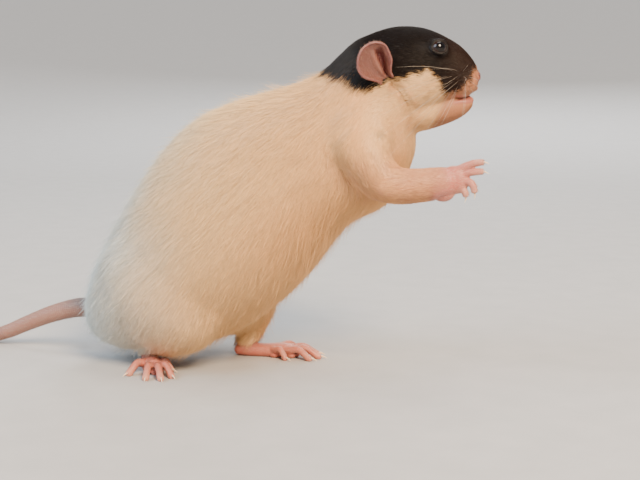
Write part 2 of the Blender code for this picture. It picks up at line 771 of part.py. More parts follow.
def add_hand(name, arm, forearm):
    flesh, claws = hand_meshes(arm)
    hand = fused(joined(name, flesh), PAW_VOXEL, PAW_SMOOTHING, HAND_TRIANGLES)
    combine(hand, claws, "UNION")
    combine(hand, [grown(forearm.data, GAP)], "DIFFERENCE")


def add_tail(rump):
    """The tail as three tubes end to end, flat underneath where it lies on the floor."""
    path = smooth_path(TAIL, 4)
    ends = [path[0][0], *TAIL_CUTS, path[-1][0]]
    for i, name in enumerate(("tail_root", "tail_middle", "tail_tip")):
        start = ends[i] - (GAP / MM / 2 if i > 0 else 0)
        stop = ends[i + 1] + (GAP / MM / 2 if i < 2 else 0)
        inner = [p for p in path if stop + 0.5 < p[0] < start - 0.5]
        stations = [on_path(path, start), *inner, on_path(path, stop)]
        points = [Vector(p[:3]) * MM for p in stations]
        mesh = tube(points, [p[3] * MM for p in stations], TAIL_SIDES)
        for vert in mesh.vertices:
            vert.co.z = max(0.0, vert.co.z)
        piece = add_object(name, mesh)
        if i == 0:
            combine(piece, [grown(rump.data, GAP)], "DIFFERENCE")


def on_path(path, x):
    """The point of a path that runs towards -X where it has that x."""
    for a, b in zip(path, path[1:]):
        if b[0] <= x <= a[0]:
            t = (a[0] - x) / (a[0] - b[0])
            return [p + (q - p) * t for p, q in zip(a, b)]
    return path[-1]


def node(name):
    return bpy.data.objects[name]


LOOKS = {
    "white_coat": COAT_WHITE,
    "dark_coat": COAT_DARK,
    "pink_skin": PINK_SKIN,
    "tail_skin": TAIL_SKIN,
    "eye": EYE_BLACK,
}
# A node's look by a word of its name; the rest have the white coat.
NODE_LOOKS = {
    "head": "dark_coat",
    "neck": "dark_coat",
    "ear": "pink_skin",
    "eye": "eye",
    "hand": "pink_skin",
    "foot": "pink_skin",
    "tail": "tail_skin",
}
SHARP_ANGLE = 50.0


def finish_nodes():
    """Materials, smooth shading, and the model set with its box's bottom centre at the origin."""
    nodes = [obj for obj in bpy.data.objects if obj.type == "MESH"]
    corners = [vert.co for obj in nodes for vert in obj.data.vertices]
    low = Vector(min(c[i] for c in corners) for i in range(3))
    high = Vector(max(c[i] for c in corners) for i in range(3))
    shift = -Vector(((low.x + high.x) / 2, (low.y + high.y) / 2, low.z))
    for obj in nodes:
        words = [word for word in obj.name.split("_") if word in NODE_LOOKS]
        look = NODE_LOOKS[words[0]] if words else "white_coat"
        obj.data.materials.clear()
        obj.data.materials.append(material(obj.name, LOOKS[look]))
        obj.data.transform(Matrix.Translation(shift))
        obj.data.shade_smooth()
        obj.data.set_sharp_from_angle(angle=math.radians(SHARP_ANGLE))
    return shift


def main():
    clear_scene()
    part_body(whole_body())
    dress_head(node("head"))
    add_eyes()
    for name, side in (("ear_left", 1), ("ear_right", -1)):
        add_ear(name, side, [node("head"), node("neck")])
    for name, leg in LEGS.items():
        add_foot(f"hind_foot_{name}", leg, [node(f"hind_leg_{name}"), node("rump"), node("belly")])
    for name, arm in ARMS.items():
        add_hand(f"hand_{name}", arm, node(f"forearm_{name}"))
    add_tail(node("rump"))
    return finish_nodes()


SHIFT = main()
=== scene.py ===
"""The looks of the dumbo rat: one skin, a coat of tufts, ears, eyes, paws, claws, tail, whiskers.

Lengths are in millimetres in the rat's own frame until a mesh is made: X the way the rat faces,
Y its left, Z up from the floor. Meshes are in metres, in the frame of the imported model.
"""
import math

import bmesh
import bpy
import numpy as np
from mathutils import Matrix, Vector
from mathutils.bvhtree import BVHTree
from mathutils.kdtree import KDTree


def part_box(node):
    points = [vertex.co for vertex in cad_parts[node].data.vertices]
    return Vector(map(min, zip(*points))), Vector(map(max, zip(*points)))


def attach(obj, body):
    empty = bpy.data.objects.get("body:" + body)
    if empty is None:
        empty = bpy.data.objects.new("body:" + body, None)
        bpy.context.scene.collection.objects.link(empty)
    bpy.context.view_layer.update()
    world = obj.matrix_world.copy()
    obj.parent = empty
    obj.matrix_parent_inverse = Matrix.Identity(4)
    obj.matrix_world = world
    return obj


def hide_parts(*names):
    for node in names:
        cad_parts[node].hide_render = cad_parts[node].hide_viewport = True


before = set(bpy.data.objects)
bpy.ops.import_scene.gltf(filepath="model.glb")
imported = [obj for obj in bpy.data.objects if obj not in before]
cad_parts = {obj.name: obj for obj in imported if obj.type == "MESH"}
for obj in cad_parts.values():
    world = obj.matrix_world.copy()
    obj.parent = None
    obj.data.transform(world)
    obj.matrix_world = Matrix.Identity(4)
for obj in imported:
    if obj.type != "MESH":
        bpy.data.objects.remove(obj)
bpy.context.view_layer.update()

MM = 0.001
UP = np.array((0.0, 0.0, 1.0))
LEFT = np.array((0.0, 1.0, 0.0))
SEED = 7

# The head has its own frame: forward from its pivot in the neck, left, up.
HEAD_PIVOT = np.array((67.2, 0.0, 110.9))
HEAD_TURN = math.radians(18.0)
HEAD_AXES = np.array((
    (math.cos(HEAD_TURN), math.sin(HEAD_TURN), 0.0),
    (-math.sin(HEAD_TURN), math.cos(HEAD_TURN), 0.0),
    (0.0, 0.0, 1.0),
))
EYE_CENTRE = (20.6, 8.5, 7.2)
EYE_AXIS = (0.26, 0.93, 0.22)
EYE_RADIUS = 3.0
# Half the angle of the lids' opening from the eyeball's centre, how much more it is lengthwise and
# less upright, and how far the lids stand off the eyeball.
LID_ANGLE = 50.0
LID_STRETCH = 7.5
LID_RIM = 0.45


def to_head(points):
    return (np.asarray(points, float) - HEAD_PIVOT) @ HEAD_AXES.T


def from_head(points):
    return np.asarray(points, float) @ HEAD_AXES + HEAD_PIVOT


def turn_from_head(directions):
    return np.asarray(directions, float) @ HEAD_AXES


def mirrored(point, side):
    return np.array((point[0], point[1] * side, point[2]))


def packed_shift():
    """From the rat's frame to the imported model's, found by where the right eye lies in both."""
    low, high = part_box("eye_right")
    centre = (np.array(low) + np.array(high)) / 2 / MM
    return centre - from_head(mirrored(EYE_CENTRE, -1))


SHIFT = packed_shift()


# Colours are given as the eye sees them, 0 to 255, and used as light.

def light(red, green, blue):
    values = np.array((red, green, blue)) / 255.0
    return np.where(values <= 0.04045, values / 12.92, ((values + 0.055) / 1.055) ** 2.4)


# The whites are the coat's cream, with painted light: cool on the rump, warm on the chest.
WHITE_COOL = light(208, 220, 221)
WHITE_CREAM = light(248, 208, 152)
WHITE_WARM = light(240, 176, 112)
HOOD_BROWN = light(22, 17, 16)
HOOD_MUZZLE = light(38, 25, 20)
NAPE_GREY = light(54, 52, 52)
CHEEK_CREAM = light(234, 190, 136)
JAW_PINK = light(166, 108, 82)
STAIN_TAN = light(150, 106, 60)
SMUDGE_GREY = light(138, 112, 84)
ARM_PINK = light(198, 134, 108)
BARE_PINK = light(162, 98, 82)
NOSE_PINK = light(124, 74, 62)
LIP_SHADE = light(98, 42, 36)
LID_DARK = light(20, 15, 14)
PAW_PINK = light(190, 112, 96)
PAW_PALE = light(200, 138, 118)
# Painted shade, deep red, for the hollows between the toes.
PAW_HOLLOW_SHADE = light(128, 38, 34)
# The ear's pinks are its skin's own, made darker for the shade the ear lies in: partly painted shade.
EAR_PINK = light(110, 71, 64)
EAR_RIM = light(122, 80, 78)
EAR_RIDGE = light(138, 96, 84)
EAR_BASE_PINK = light(108, 66, 54)
# Painted shade, deep red, in the furrow down to the ear's opening.
EAR_FURROW_SHADE = light(80, 6, 12)
TAIL_PINK = light(156, 114, 98)
TAIL_GREY = light(90, 86, 90)
CLAW_HORN = light(232, 214, 190)
WHISKER_ROOT = light(96, 80, 70)
WHISKER_TIP = light(226, 216, 200)


# Numbers and fields.

def ramp(value, low, high):
    t = np.clip((value - low) / (high - low), 0.0, 1.0)
    return t * t * (3 - 2 * t)


def fall(value, near, far):
    """1 up to near, 0 from far on."""
    return ramp(-value, -far, -near)


def bell(value, width):
    return np.exp(-(value / width) ** 2)


def blend(a, b, share):
    share = np.asarray(share)
    if np.ndim(a) > 1 or np.ndim(b) > 1 or np.shape(a)[-1:] == (3,):
        share = share[..., None]
    return a + (b - a) * share


def unit(vectors):
    size = np.linalg.norm(vectors, axis=-1, keepdims=True)
    return vectors / np.maximum(size, 1e-9)


def wave(points, scale, seed):
    """A smooth field between about -1 and 1 whose swells are scale across."""
    draw = np.random.default_rng(seed)
    total = np.zeros(len(points))
    for _ in range(6):
        way = unit(draw.normal(size=3)) * math.tau / (scale * draw.uniform(0.7, 1.6))
        total += np.sin(points @ way + draw.uniform(0, math.tau))
    return total / 3.0


def catmull(a, b, c, d, t):
    square = 2 * a - 5 * b + 4 * c - d
    cube = 3 * b - a - 3 * c + d
    return 0.5 * (2 * b + (c - a) * t + square * t * t + cube * t ** 3)


def smooth_path(points, per_span=6):
    """Catmull-Rom through rows of numbers."""
    points = np.array(points, float)
    ends = np.vstack((points[:1], points, points[-1:]))
    path = []
    for i in range(len(points) - 1):
        path += [catmull(*ends[i:i + 4], step / per_span) for step in range(per_span)]
    return np.array(path + [points[-1]])


def near_path(points, path):
    """For each point: its distance from a path, how far along that is, and the path's place there."""
    path = np.asarray(path, float)
    best = np.full(len(points), np.inf)
    along = np.zeros(len(points))
    foot = np.zeros((len(points), path.shape[1]))
    start = 0.0
    for a, b in zip(path, path[1:]):
        length = np.linalg.norm(b - a)
        t = np.clip((points - a) @ (b - a) / length ** 2, 0, 1)
        place = a + t[:, None] * (b - a)
        gap = np.linalg.norm(points - place, axis=1)
        closer = gap < best
        best = np.where(closer, gap, best)
        along = np.where(closer, start + t * length, along)
        foot[closer] = place[closer]
        start += length
    return best, along, foot


def gap_to(points, path):
    return near_path(points, path)[0]


def distance(points, place):
    return np.linalg.norm(points - place, axis=1)


def dots(a, b):
    return np.einsum("ij,ij->i", a, b)


def travel(path):
    """How far along a path each of its points lies."""
    steps = np.linalg.norm(np.diff(path, axis=0), axis=1)
    return np.concatenate(([0], np.cumsum(steps)))


def heading(path, along, reach):
    """A path's direction at each distance along it, from reach before to reach after."""
    places = travel(path)
    ahead = [np.interp(along + reach, places, c) - np.interp(along - reach, places, c) for c in path.T]
    return unit(np.stack(ahead, 1))


# Meshes.

def mesh_of(name, points, faces):
    """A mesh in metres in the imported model's frame from points and faces in millimetres."""
    mesh = bpy.data.meshes.new(name)
    mesh.from_pydata((np.asarray(points) + SHIFT) * MM, [], faces)
    mesh.update()
    return mesh


def add_object(name, mesh):
    obj = bpy.data.objects.new(name, mesh)
    bpy.context.scene.collection.objects.link(obj)
    return obj


def closed_piece(name, points, faces):
    """A smooth piece whose faces point outwards."""
    mesh = mesh_of(name, points, faces)
    bm = bmesh.new()
    bm.from_mesh(mesh)
    bmesh.ops.recalc_face_normals(bm, faces=bm.faces[:])
    bm.to_mesh(mesh)
    bm.free()
    mesh.shade_smooth()
    return add_object(name, mesh)


def applied(obj):
    """The object's modifiers become its mesh."""
    graph = bpy.context.evaluated_depsgraph_get()
    mesh = bpy.data.meshes.new_from_object(obj.evaluated_get(graph))
    obj.modifiers.clear()
    obj.data = mesh


def points_of(mesh):
    flat = np.empty(len(mesh.vertices) * 3)
    mesh.vertices.foreach_get("co", flat)
    return flat.reshape(-1, 3) / MM - SHIFT


def normals_of(mesh):
    flat = np.empty(len(mesh.vertices) * 3, np.float32)
    mesh.vertices.foreach_get("normal", flat)
    return flat.reshape(-1, 3).astype(float)


def move_points(mesh, points):
    mesh.vertices.foreach_set("co", ((points + SHIFT) * MM).ravel())
    mesh.update()


def store(mesh, name, values):
    """A colour or a number for each point of the mesh, for its material to read."""
    values = np.asarray(values, np.float32)
    if values.ndim == 1:
        made = mesh.attributes.new(name, "FLOAT", "POINT")
        made.data.foreach_set("value", values)
        return
    made = mesh.attributes.new(name, "FLOAT_COLOR", "POINT")
    full = np.ones((len(values), 4), np.float32)
    full[:, :3] = values
    made.data.foreach_set("color", full.ravel())


def turns_of(count):
    return np.arange(count) * math.tau / count


def grid_faces(rows, columns, rows_close=False, columns_close=True):
    """Four-sided faces of a grid of points that may close on itself either way."""
    faces = []
    for row in range(rows if rows_close else rows - 1):
        here, there = row * columns, (row + 1) % rows * columns
        for i in range(columns if columns_close else columns - 1):
            j = (i + 1) % columns
            faces.append((here + i, here + j, there + j, there + i))
    return faces


def ringed(rings):
    """Points and faces of a closed shape through rings of points, each end closed by a fan."""
    rings = np.asarray(rings, float)
    rows, count, _ = rings.shape
    points = np.vstack((rings.reshape(-1, 3), rings[0].mean(axis=0), rings[-1].mean(axis=0)))
    faces = grid_faces(rows, count)
    for row, centre in ((0, rows * count), (rows - 1, rows * count + 1)):
        for i in range(count):
            j = (i + 1) % count
            face = (row * count + i, row * count + j, centre)
            faces.append(face[::-1] if row == 0 else face)
    return points, faces


def tube(points, radii, sides, flat=1.0, across=LEFT):
    """A closed tube through points; flat thins or widens it across its own side direction."""
    points = np.asarray(points, float)
    last = len(points) - 1
    turns = turns_of(sides)
    rings = []
    for i, point in enumerate(points):
        way = unit(points[min(i + 1, last)] - points[max(i - 1, 0)])
        across = unit(across - way * (across @ way))
        lift = np.cross(way, across)
        ring = np.outer(np.cos(turns) * flat, across) + np.outer(np.sin(turns), lift)
        rings.append(point + ring * radii[i])
    return ringed(rings)


BALL_SIDES = 32
BALL_ROWS = 18


def ball(centre, radii, pitch=0.0):
    """An ellipsoid, pitched by degrees with its front rising."""
    turns = turns_of(BALL_SIDES)
    rings = []
    for p in np.linspace(0.06, math.pi - 0.06, BALL_ROWS):
        ring = (np.full(BALL_SIDES, math.cos(p)), math.sin(p) * np.cos(turns), math.sin(p) * np.sin(turns))
        rings.append(np.stack(ring, 1))
    points, faces = ringed(rings)
    points = points * np.asarray(radii, float)
    c, s = math.cos(math.radians(pitch)), math.sin(math.radians(pitch))
    points = points @ np.array(((c, 0, s), (0, 1, 0), (-s, 0, c)))
    return points + np.asarray(centre, float), faces


def merged(shapes):
    points, faces, base = [], [], 0
    for some_points, some_faces in shapes:
        points.append(some_points)
        faces += [tuple(i + base for i in face) for face in some_faces]
        base += len(some_points)
    return np.vstack(points), faces


WEIGHT_STEPS = 20


def weigh(obj, weights):
    """A vertex group named share with those weights, in steps."""
    group = obj.vertex_groups.new(name="share")
    level = np.round(weights * WEIGHT_STEPS).astype(int)
    for step in range(WEIGHT_STEPS + 1):
        group.add(np.flatnonzero(level == step).tolist(), step / WEIGHT_STEPS, "REPLACE")


def fused(obj, voxel, smoothing, share):
    """Overlapping shapes become one smooth surface; share says how much smoothing reaches a point."""
    remesh = obj.modifiers.new("Fuse", "REMESH")
    remesh.mode = "VOXEL"
    remesh.voxel_size = voxel * MM
    applied(obj)
    smooth = obj.modifiers.new("Smooth", "SMOOTH")
    smooth.factor = 0.5
    smooth.iterations = smoothing
    weigh(obj, share(points_of(obj.data)))
    smooth.vertex_group = "share"
    applied(obj)
    obj.vertex_groups.clear()


def edges_of(mesh):
    flat = np.empty(len(mesh.edges) * 2, np.int32)
    mesh.edges.foreach_get("vertices", flat)
    return flat.reshape(-1, 2)


def spread(values, edges, rounds):
    """Each point's values moved to its neighbours' mean, round after round."""
    a, b = edges[:, 0], edges[:, 1]
    size = len(values)
    count = np.bincount(a, minlength=size) + np.bincount(b, minlength=size)
    for _ in range(rounds):
        total = [np.bincount(a, v[b], size) + np.bincount(b, v[a], size) for v in values.T]
        values = (values + np.stack(total, 1)) / (1 + count)[:, None]
    return values


def hollows(mesh):
    """How far each point lies inside the surface round it, in millimetres."""
    points = points_of(mesh)
    drift = spread(points, edges_of(mesh), 6) - points
    return dots(drift, normals_of(mesh))


# The body's own shapes, with the same sizes as the solids.

# Torso, tail root to neck: back x, z, belly x, z, half width, widest level.
TORSO = (
    (-46.0, 24.5, -46.0, 12.5, 6.0, 0.50),
    (-42.5, 33.5, -41.5, 7.2, 16.0, 0.50),
    (-34.8, 50.0, -27.5, 3.6, 24.5, 0.42),
    (-21.0, 72.3, -5.0, 5.8, 28.5, 0.38),
    (-4.0, 91.0, 20.0, 17.3, 29.5, 0.38),
    (15.0, 99.8, 40.0, 34.8, 27.0, 0.40),
    (33.0, 104.6, 56.0, 54.7, 23.0, 0.42),
    (46.0, 109.8, 71.5, 63.2, 19.8, 0.45),
    (54.0, 116.6, 80.6, 78.8, 16.8, 0.50),
    (60.0, 121.6, 80.7, 89.0, 15.0, 0.50),
    (64.0, 122.8, 81.8, 96.0, 13.3, 0.50),
)
# Skull and jaw in the head's frame: forward, top, bottom, half width, widest level.
SKULL = (
    (-9.0, 9.2, -16.0, 11.5, 0.50),
    (-2.0, 12.8, -19.0, 13.3, 0.45),
    (6.0, 15.0, -19.5, 14.1, 0.42),
    (13.0, 15.1, -18.0, 13.4, 0.42),
    (19.0, 13.8, -15.5, 11.8, 0.42),
    (25.0, 11.0, -12.2, 9.6, 0.42),
    (29.5, 8.1, -9.8, 7.8, 0.45),
    (33.0, 4.5, -8.6, 6.0, 0.50),
    (35.6, 0.6, -7.2, 3.4, 0.50),
)
JAW = (
    (4.0, -4.0, -20.5, 11.0, 0.50),
    (12.0, -6.0, -22.2, 10.0, 0.45),
    (19.0, -8.0, -21.2, 8.0, 0.45),
    (26.0, -8.6, -18.8, 5.8, 0.50),
    (31.0, -9.1, -16.2, 4.4, 0.50),
    (34.0, -9.6, -13.2, 2.6, 0.50),
)
# Paired swellings of the head, and the nose: centre forward, side, up, then radii.
CHEEK = (9.0, 7.8, -5.0, 11.5, 6.8, 10.0)
WHISKER_PAD = (29.2, 4.3, -4.6, 6.0, 4.1, 5.0)
NOSE_PAD = (34.4, 0.0, -2.2, 2.0, 2.8, 2.6)
# The round mound that the lids are cut from.
LID_RADIUS = 3.75
# Legs: the thigh's centre, radii and pitch, then joints with radii, and degrees that the foot turns out.
LEGS = {
    "right": {
        "side": -1,
        "thigh": (-11.5, 15.5, 28.5, 27.0, 15.0, 20.0, -34.0),
        "knee": (1.0, 18.8, 16.6, 7.4),
        "ankle": (-18.5, 10.0, 8.6, 5.2),
        "heel": (-21.0, 5.0),
        "splay": 60.0,
    },
    "left": {
        "side": 1,
        "thigh": (-1.0, 15.5, 29.0, 26.0, 15.0, 19.0, -30.0),
        "knee": (14.0, 18.8, 18.0, 7.4),
        "ankle": (11.0, 17.5, 8.6, 5.2),
        "heel": (8.5, 16.2),
        "splay": 8.0,
    },
}
# Arms: joints with radii; each finger as three joints from the wrist and a radius.
ARMS = {
    "right": {
        "side": -1,
        "shoulder": (63.0, 13.5, 86.0, 10.5),
        "elbow": (76.5, 18.5, 72.2, 7.1),
        "wrist": (95.5, 17.5, 73.3, 5.1),
        "fingers": (
            ((6.4, 0.0, 5.0), (10.2, 0.2, 6.6), (13.6, 0.6, 7.1), 1.32),
            ((6.8, 0.2, 3.0), (10.4, 0.5, 3.8), (13.6, 0.8, 4.0), 1.30),
            ((6.6, 0.3, 0.8), (9.8, 0.9, -0.2), (10.8, 0.8, -3.2), 1.35),
            ((5.4, 0.1, -1.8), (7.4, 0.6, -3.0), (7.7, 0.4, -4.6), 1.28),
        ),
    },
    "left": {
        "side": 1,
        "shoulder": (60.0, 13.5, 85.0, 10.5),
        "elbow": (65.5, 17.0, 69.8, 7.2),
        "wrist": (80.5, 12.0, 70.0, 4.7),
        "fingers": (
            ((6.2, 0.0, 3.6), (10.0, 0.2, 4.6), (12.8, 0.6, 4.2), 1.20),
            ((6.8, 0.2, 1.8), (10.8, 0.5, 2.2), (13.6, 0.8, 1.4), 1.20),
            ((6.6, 0.3, -0.4), (10.4, 0.6, -0.8), (13.0, 0.8, -1.8), 1.15),
            ((5.4, 0.1, -2.2), (8.4, 0.4, -3.0), (10.4, 0.5, -3.6), 1.10),
        ),
    },
}
SHOULDER_RADII = (13.0, 8.5, 15.0)
SHOULDER_PITCH = -35.0
# Past its wrist the forearm narrows into the hand: how far, and to what radius. The same for the
# shank, down to a point of the foot: forward from the heel, up, radius.
CUFF = (4.6, 2.9)
HOCK = (1.8, 4.7, 3.3)

# A hind foot from its heel: length, then toes from the inner to the outer as root forward (a share
# of the foot), root sideways, spread in degrees, length, radius.
FOOT_LENGTH = 22.0
TOES = (
    (0.66, 3.6, 36.0, 6.0, 1.20),
    (0.92, 3.1, 19.0, 9.2, 1.35),
    (1.00, 1.0, 4.0, 10.0, 1.40),
    (0.95, -1.5, -14.0, 9.6, 1.40),
    (0.72, -3.6, -46.0, 8.6, 1.45),
)
# Along a toe: share of its length, height above its root, share of its radius.
TOE_ARCH = ((0.0, 0.3, 1.12), (0.36, 0.8, 0.98), (0.70, -1.0, 0.92), (0.86, -2.05, 1.0), (1.0, -2.2, 0.8))
# The sole as forward, sideways, up and radius; its pads as forward and sideways.
SOLE = (
    (-2.6, 0.2, 2.6, 1.2),
    (-1.6, 0.2, 2.5, 2.3),
    (3.0, 0.1, 2.4, 2.65),
    (9.0, 0.0, 2.3, 2.55),
    (15.0, 0.1, 2.5, 2.8),
    (20.5, 0.3, 2.7, 2.5),
)
SOLE_WIDTH = 1.3
PADS = ((20.4, 2.6), (21.6, 0.2), (20.2, -2.2), (15.0, -2.6), (13.5, 2.6))
PAD_RADII = (1.7, 1.3, 1.35)
# A forepaw from its wrist: centres and radii.
PALM = (3.8, 0.0, 0.9, 5.0, 2.5, 4.8)
THUMB = (1.8, -1.6, 4.4, 1.1)
HEEL_PAD = (-0.2, 0.0, -3.1, 4.2, 2.6, 3.5)
WRIST = ((-3.0, 0.0, 0.0, 3.9), (0.5, 0.0, 0.2, 3.9), (3.5, 0.0, 0.6, 3.6))
WRIST_WIDTH = 0.72
# The middle of the palm and of its heel, as lines with radii.
PALM_LINES = (
    ((0.6, 0.0, -1.0, 2.9), (5.2, 0.0, 2.8, 3.0)),
    ((-1.0, 0.0, -3.0, 3.3), (1.6, 0.0, -3.0, 3.2)),
)
CLAW_LENGTH = 2.4
CLAW_RADIUS = 0.5
FINGER_CLAW = 1.9
FINGER_CLAW_RADIUS = 0.42
# Of a claw's length: how much is sunk in the toe, and how far its tip droops. Then its taper.
CLAW_SUNK = 0.15
CLAW_DROOP = 0.45
CLAW_TAPER = 0.86
CLAW_WIDTH = 0.72
LIMB_SIDES = 24
DIGIT_SIDES = 14
CLAW_SIDES = 10
FINGER_TAPER = (1.15, 1.05, 0.95, 0.8)
# Beyond this distance from a paw's lines the gap to them isn't measured.
NEAR_PAW = 7.0
FAR_FROM_PAW = 9.0

# How fine the fused body is, its rounds of smoothing, and what share of it reaches face and paws.
BODY_VOXEL = 0.30
BODY_SMOOTHING = 170
FACE_SMOOTHING = 0.25
PAW_SMOOTHING = 0.03
# The solids that the skin stands for.
FLESH = (
    "head", "neck", "chest", "belly", "rump", "upper_arm_right", "upper_arm_left",
    "forearm_right", "forearm_left", "hind_leg_right", "hind_leg_left",
    "hand_right", "hand_left", "hind_foot_right", "hind_foot_left",
)


def joint_of(limb, joint):
    return mirrored(limb[joint][:3], limb["side"])


def ovals(tops, bottoms, half, widest, count=40):
    """Closed sections: two half ellipses that meet at the widest level."""
    turns = turns_of(count)
    rings = []
    for top, bottom, wide, level in zip(tops, bottoms, half, widest):
        middle = bottom + (top - bottom) * level
        reach = np.where((np.sin(turns) >= 0)[:, None], top - middle, middle - bottom)
        rings.append(middle + np.outer(wide * np.cos(turns), LEFT) + reach * np.sin(turns)[:, None])
    return ringed(rings)


def loft(rows):
    """Sections from rows of the kind that TORSO has."""
    flat = np.zeros(len(rows))
    tops = np.stack((rows[:, 0], flat, rows[:, 1]), 1)
    bottoms = np.stack((rows[:, 2], flat, rows[:, 3]), 1)
    return ovals(tops, bottoms, rows[:, 4], rows[:, 5])


def head_loft(stations):
    points, faces = loft(smooth_path(stations)[:, (0, 1, 0, 2, 3, 4)])
    return from_head(points), faces


def head_swelling(numbers, side):
    points, faces = ball(mirrored(numbers[:3], side), numbers[3:])
    return from_head(points), faces


def limb_shape(stations, side):
    path = smooth_path(stations, 5)
    path[:, 1] *= side
    return tube(path[:, :3], path[:, 3], LIMB_SIDES)


def body_shapes():
    lids = (*EYE_CENTRE, LID_RADIUS, LID_RADIUS, LID_RADIUS)
    shapes = [loft(smooth_path(TORSO)), head_loft(SKULL), head_loft(JAW), head_swelling(NOSE_PAD, 1)]
    shapes += [head_swelling(part, side) for part in (CHEEK, WHISKER_PAD, lids) for side in (1, -1)]
    for leg in LEGS.values():
        side = leg["side"]
        x, y, z, length, width, height, pitch = leg["thigh"]
        shapes.append(ball((x, y * side, z), (length, width, height), pitch))
        turn = math.radians(leg["splay"])
        heel_x, heel_y = leg["heel"]
        forward, up, radius = HOCK
        hock = (heel_x + forward * math.cos(turn), heel_y + forward * math.sin(turn), up, radius)
        shapes.append(limb_shape((leg["knee"], leg["ankle"], hock), side))
        shapes.append(ball(joint_of(leg, "knee"), [leg["knee"][3]] * 3))
    for arm in ARMS.values():
        shapes.append(ball(joint_of(arm, "shoulder"), SHOULDER_RADII, SHOULDER_PITCH))
        wrist = np.array(arm["wrist"][:3])
        cuff = wrist + unit(wrist - np.array(arm["elbow"][:3])) * CUFF[0]
        stations = (arm["shoulder"], arm["elbow"], arm["wrist"], (*cuff, CUFF[1]))
        shapes.append(limb_shape(stations, arm["side"]))
    return shapes


class Paw:
    """A foot or a hand: its flesh and claws as shapes, the lines through it, the tips of its toes."""

    def __init__(self, flesh, claws, lines, tips, place):
        self.flesh = [(place(points), faces) for points, faces in flesh]
        self.claws = [(place(points), faces) for points, faces in claws]
        self.lines = [np.column_stack((place(line[:, :3]), line[:, 3])) for line in lines]
        self.tips = place(np.array(tips))

    def gap(self, points):
        """How far outside the lines' tubes each point lies."""
        gap = np.full(len(points), FAR_FROM_PAW)
        for line in self.lines:
            low = (line[:, :3] - line[:, 3:]).min(axis=0) - NEAR_PAW
            high = (line[:, :3] + line[:, 3:]).max(axis=0) + NEAR_PAW
            near = np.flatnonzero(np.all((points > low) & (points < high), axis=1))
            some = points[near]
            for a, b in zip(line, line[1:]):
                way = b[:3] - a[:3]
                t = np.clip((some - a[:3]) @ way / (way @ way), 0, 1)
                reach = np.linalg.norm(some - a[:3] - t[:, None] * way, axis=1)
                gap[near] = np.minimum(gap[near], reach - a[3] - t * (b[3] - a[3]))
        return gap


def claw_shape(base, along, down, length, radius):
    """A tapered claw that curves down from the tip of a toe."""
    t = np.linspace(0, 1, CLAW_SIDES)[:, None]
    points = base + along * (length * ((1 + CLAW_SUNK) * t - CLAW_SUNK))
    points = points + down * (CLAW_DROOP * length * t * t)
    return tube(points, radius * (1 - CLAW_TAPER * t[:, 0] ** 1.2), CLAW_SIDES, CLAW_WIDTH)


def digit(joints, radii):
    """A toe or finger through joints: its flesh, and the line through it."""
    line = smooth_path(np.column_stack((joints, radii)), 4)
    return tube(line[:, :3], line[:, 3], DIGIT_SIDES), line[::2]


def foot_of(leg):
    side = leg["side"]
    heel = mirrored((*leg["heel"], 0.0), side)
    turn = math.radians(leg["splay"] * side)
    forward = (math.cos(turn), math.sin(turn), 0)
    axes = np.array((forward, (-forward[1], forward[0], 0), (0, 0, 1)))
    flip = np.array((1.0, -side, 1.0))

    def place(points):
        return (points * flip) @ axes + heel

    ankle = ((joint_of(leg, "ankle") - heel) @ axes.T) * flip
    sole = np.array(SOLE)
    flesh = [tube(sole[:, :3], sole[:, 3], 20, SOLE_WIDTH)]
    flesh.append(tube(((0.6, 0.2, 2.8), (1.4, 0.2, 5.0), ankle), (2.7, 2.8, 3.1), 18))
    flesh += [ball((x, y, 1.2), PAD_RADII) for x, y in PADS]
    claws, tips, lines = [], [], [sole]
    for share, aside, degrees, length, radius in TOES:
        root = np.array((share * FOOT_LENGTH, aside, 3.0))
        away = np.array((math.cos(math.radians(degrees)), math.sin(math.radians(degrees)), 0))
        joints = [root - away * 3.0] + [root + away * (t * length) + UP * lift for t, lift, _ in TOE_ARCH]
        toe, line = digit(joints, [radius * 1.1] + [radius * size for *_, size in TOE_ARCH])
        flesh.append(toe)
        lines.append(line)
        claws.append(claw_shape(joints[-1] + UP * 0.35, away, UP * -0.8, CLAW_LENGTH, CLAW_RADIUS))
        tips.append(joints[-1])
    return Paw(flesh, claws, lines, tips, place)


def hand_of(arm):
    side = arm["side"]
    wrist = joint_of(arm, "wrist")

    def place(points):
        return points + wrist

    stations = np.array(WRIST)
    flesh = [
        ball(mirrored(PALM[:3], side), PALM[3:]),
        ball(mirrored(HEEL_PAD[:3], side), HEEL_PAD[3:]),
        tube(stations[:, :3], stations[:, 3], 18, WRIST_WIDTH),
        ball(mirrored(THUMB[:3], side), [THUMB[3]] * 3),
    ]
    claws, tips, lines = [], [], [np.array(line) for line in PALM_LINES]
    for *joints, radius in arm["fingers"]:
        joints = [np.array((1.5, 0, joints[0][2] * 0.5)), *(mirrored(p, side) for p in joints)]
        finger, line = digit(joints, [radius * size for size in FINGER_TAPER])
        flesh.append(finger)
        lines.append(line)
        along = unit(joints[-1] - joints[-2])
        down = unit(np.array((along[2], 0, -abs(along[0]) - 0.2)))
        claws.append(claw_shape(joints[-1], along, down, FINGER_CLAW, FINGER_CLAW_RADIUS))
        tips.append(joints[-1])
    return Paw(flesh, claws, lines, tips, place)


PAWS = {f"hind_foot_{name}": foot_of(leg) for name, leg in LEGS.items()}
PAWS.update({f"hand_{name}": hand_of(arm) for name, arm in ARMS.items()})


def paw_gap(points):
    return np.minimum.reduce([paw.gap(points) for paw in PAWS.values()])


def paw_share(gap):
    """1 on a paw's own flesh, 0 where the furred limb lies well outside it."""
    return fall(gap, 0.9, 1.9)


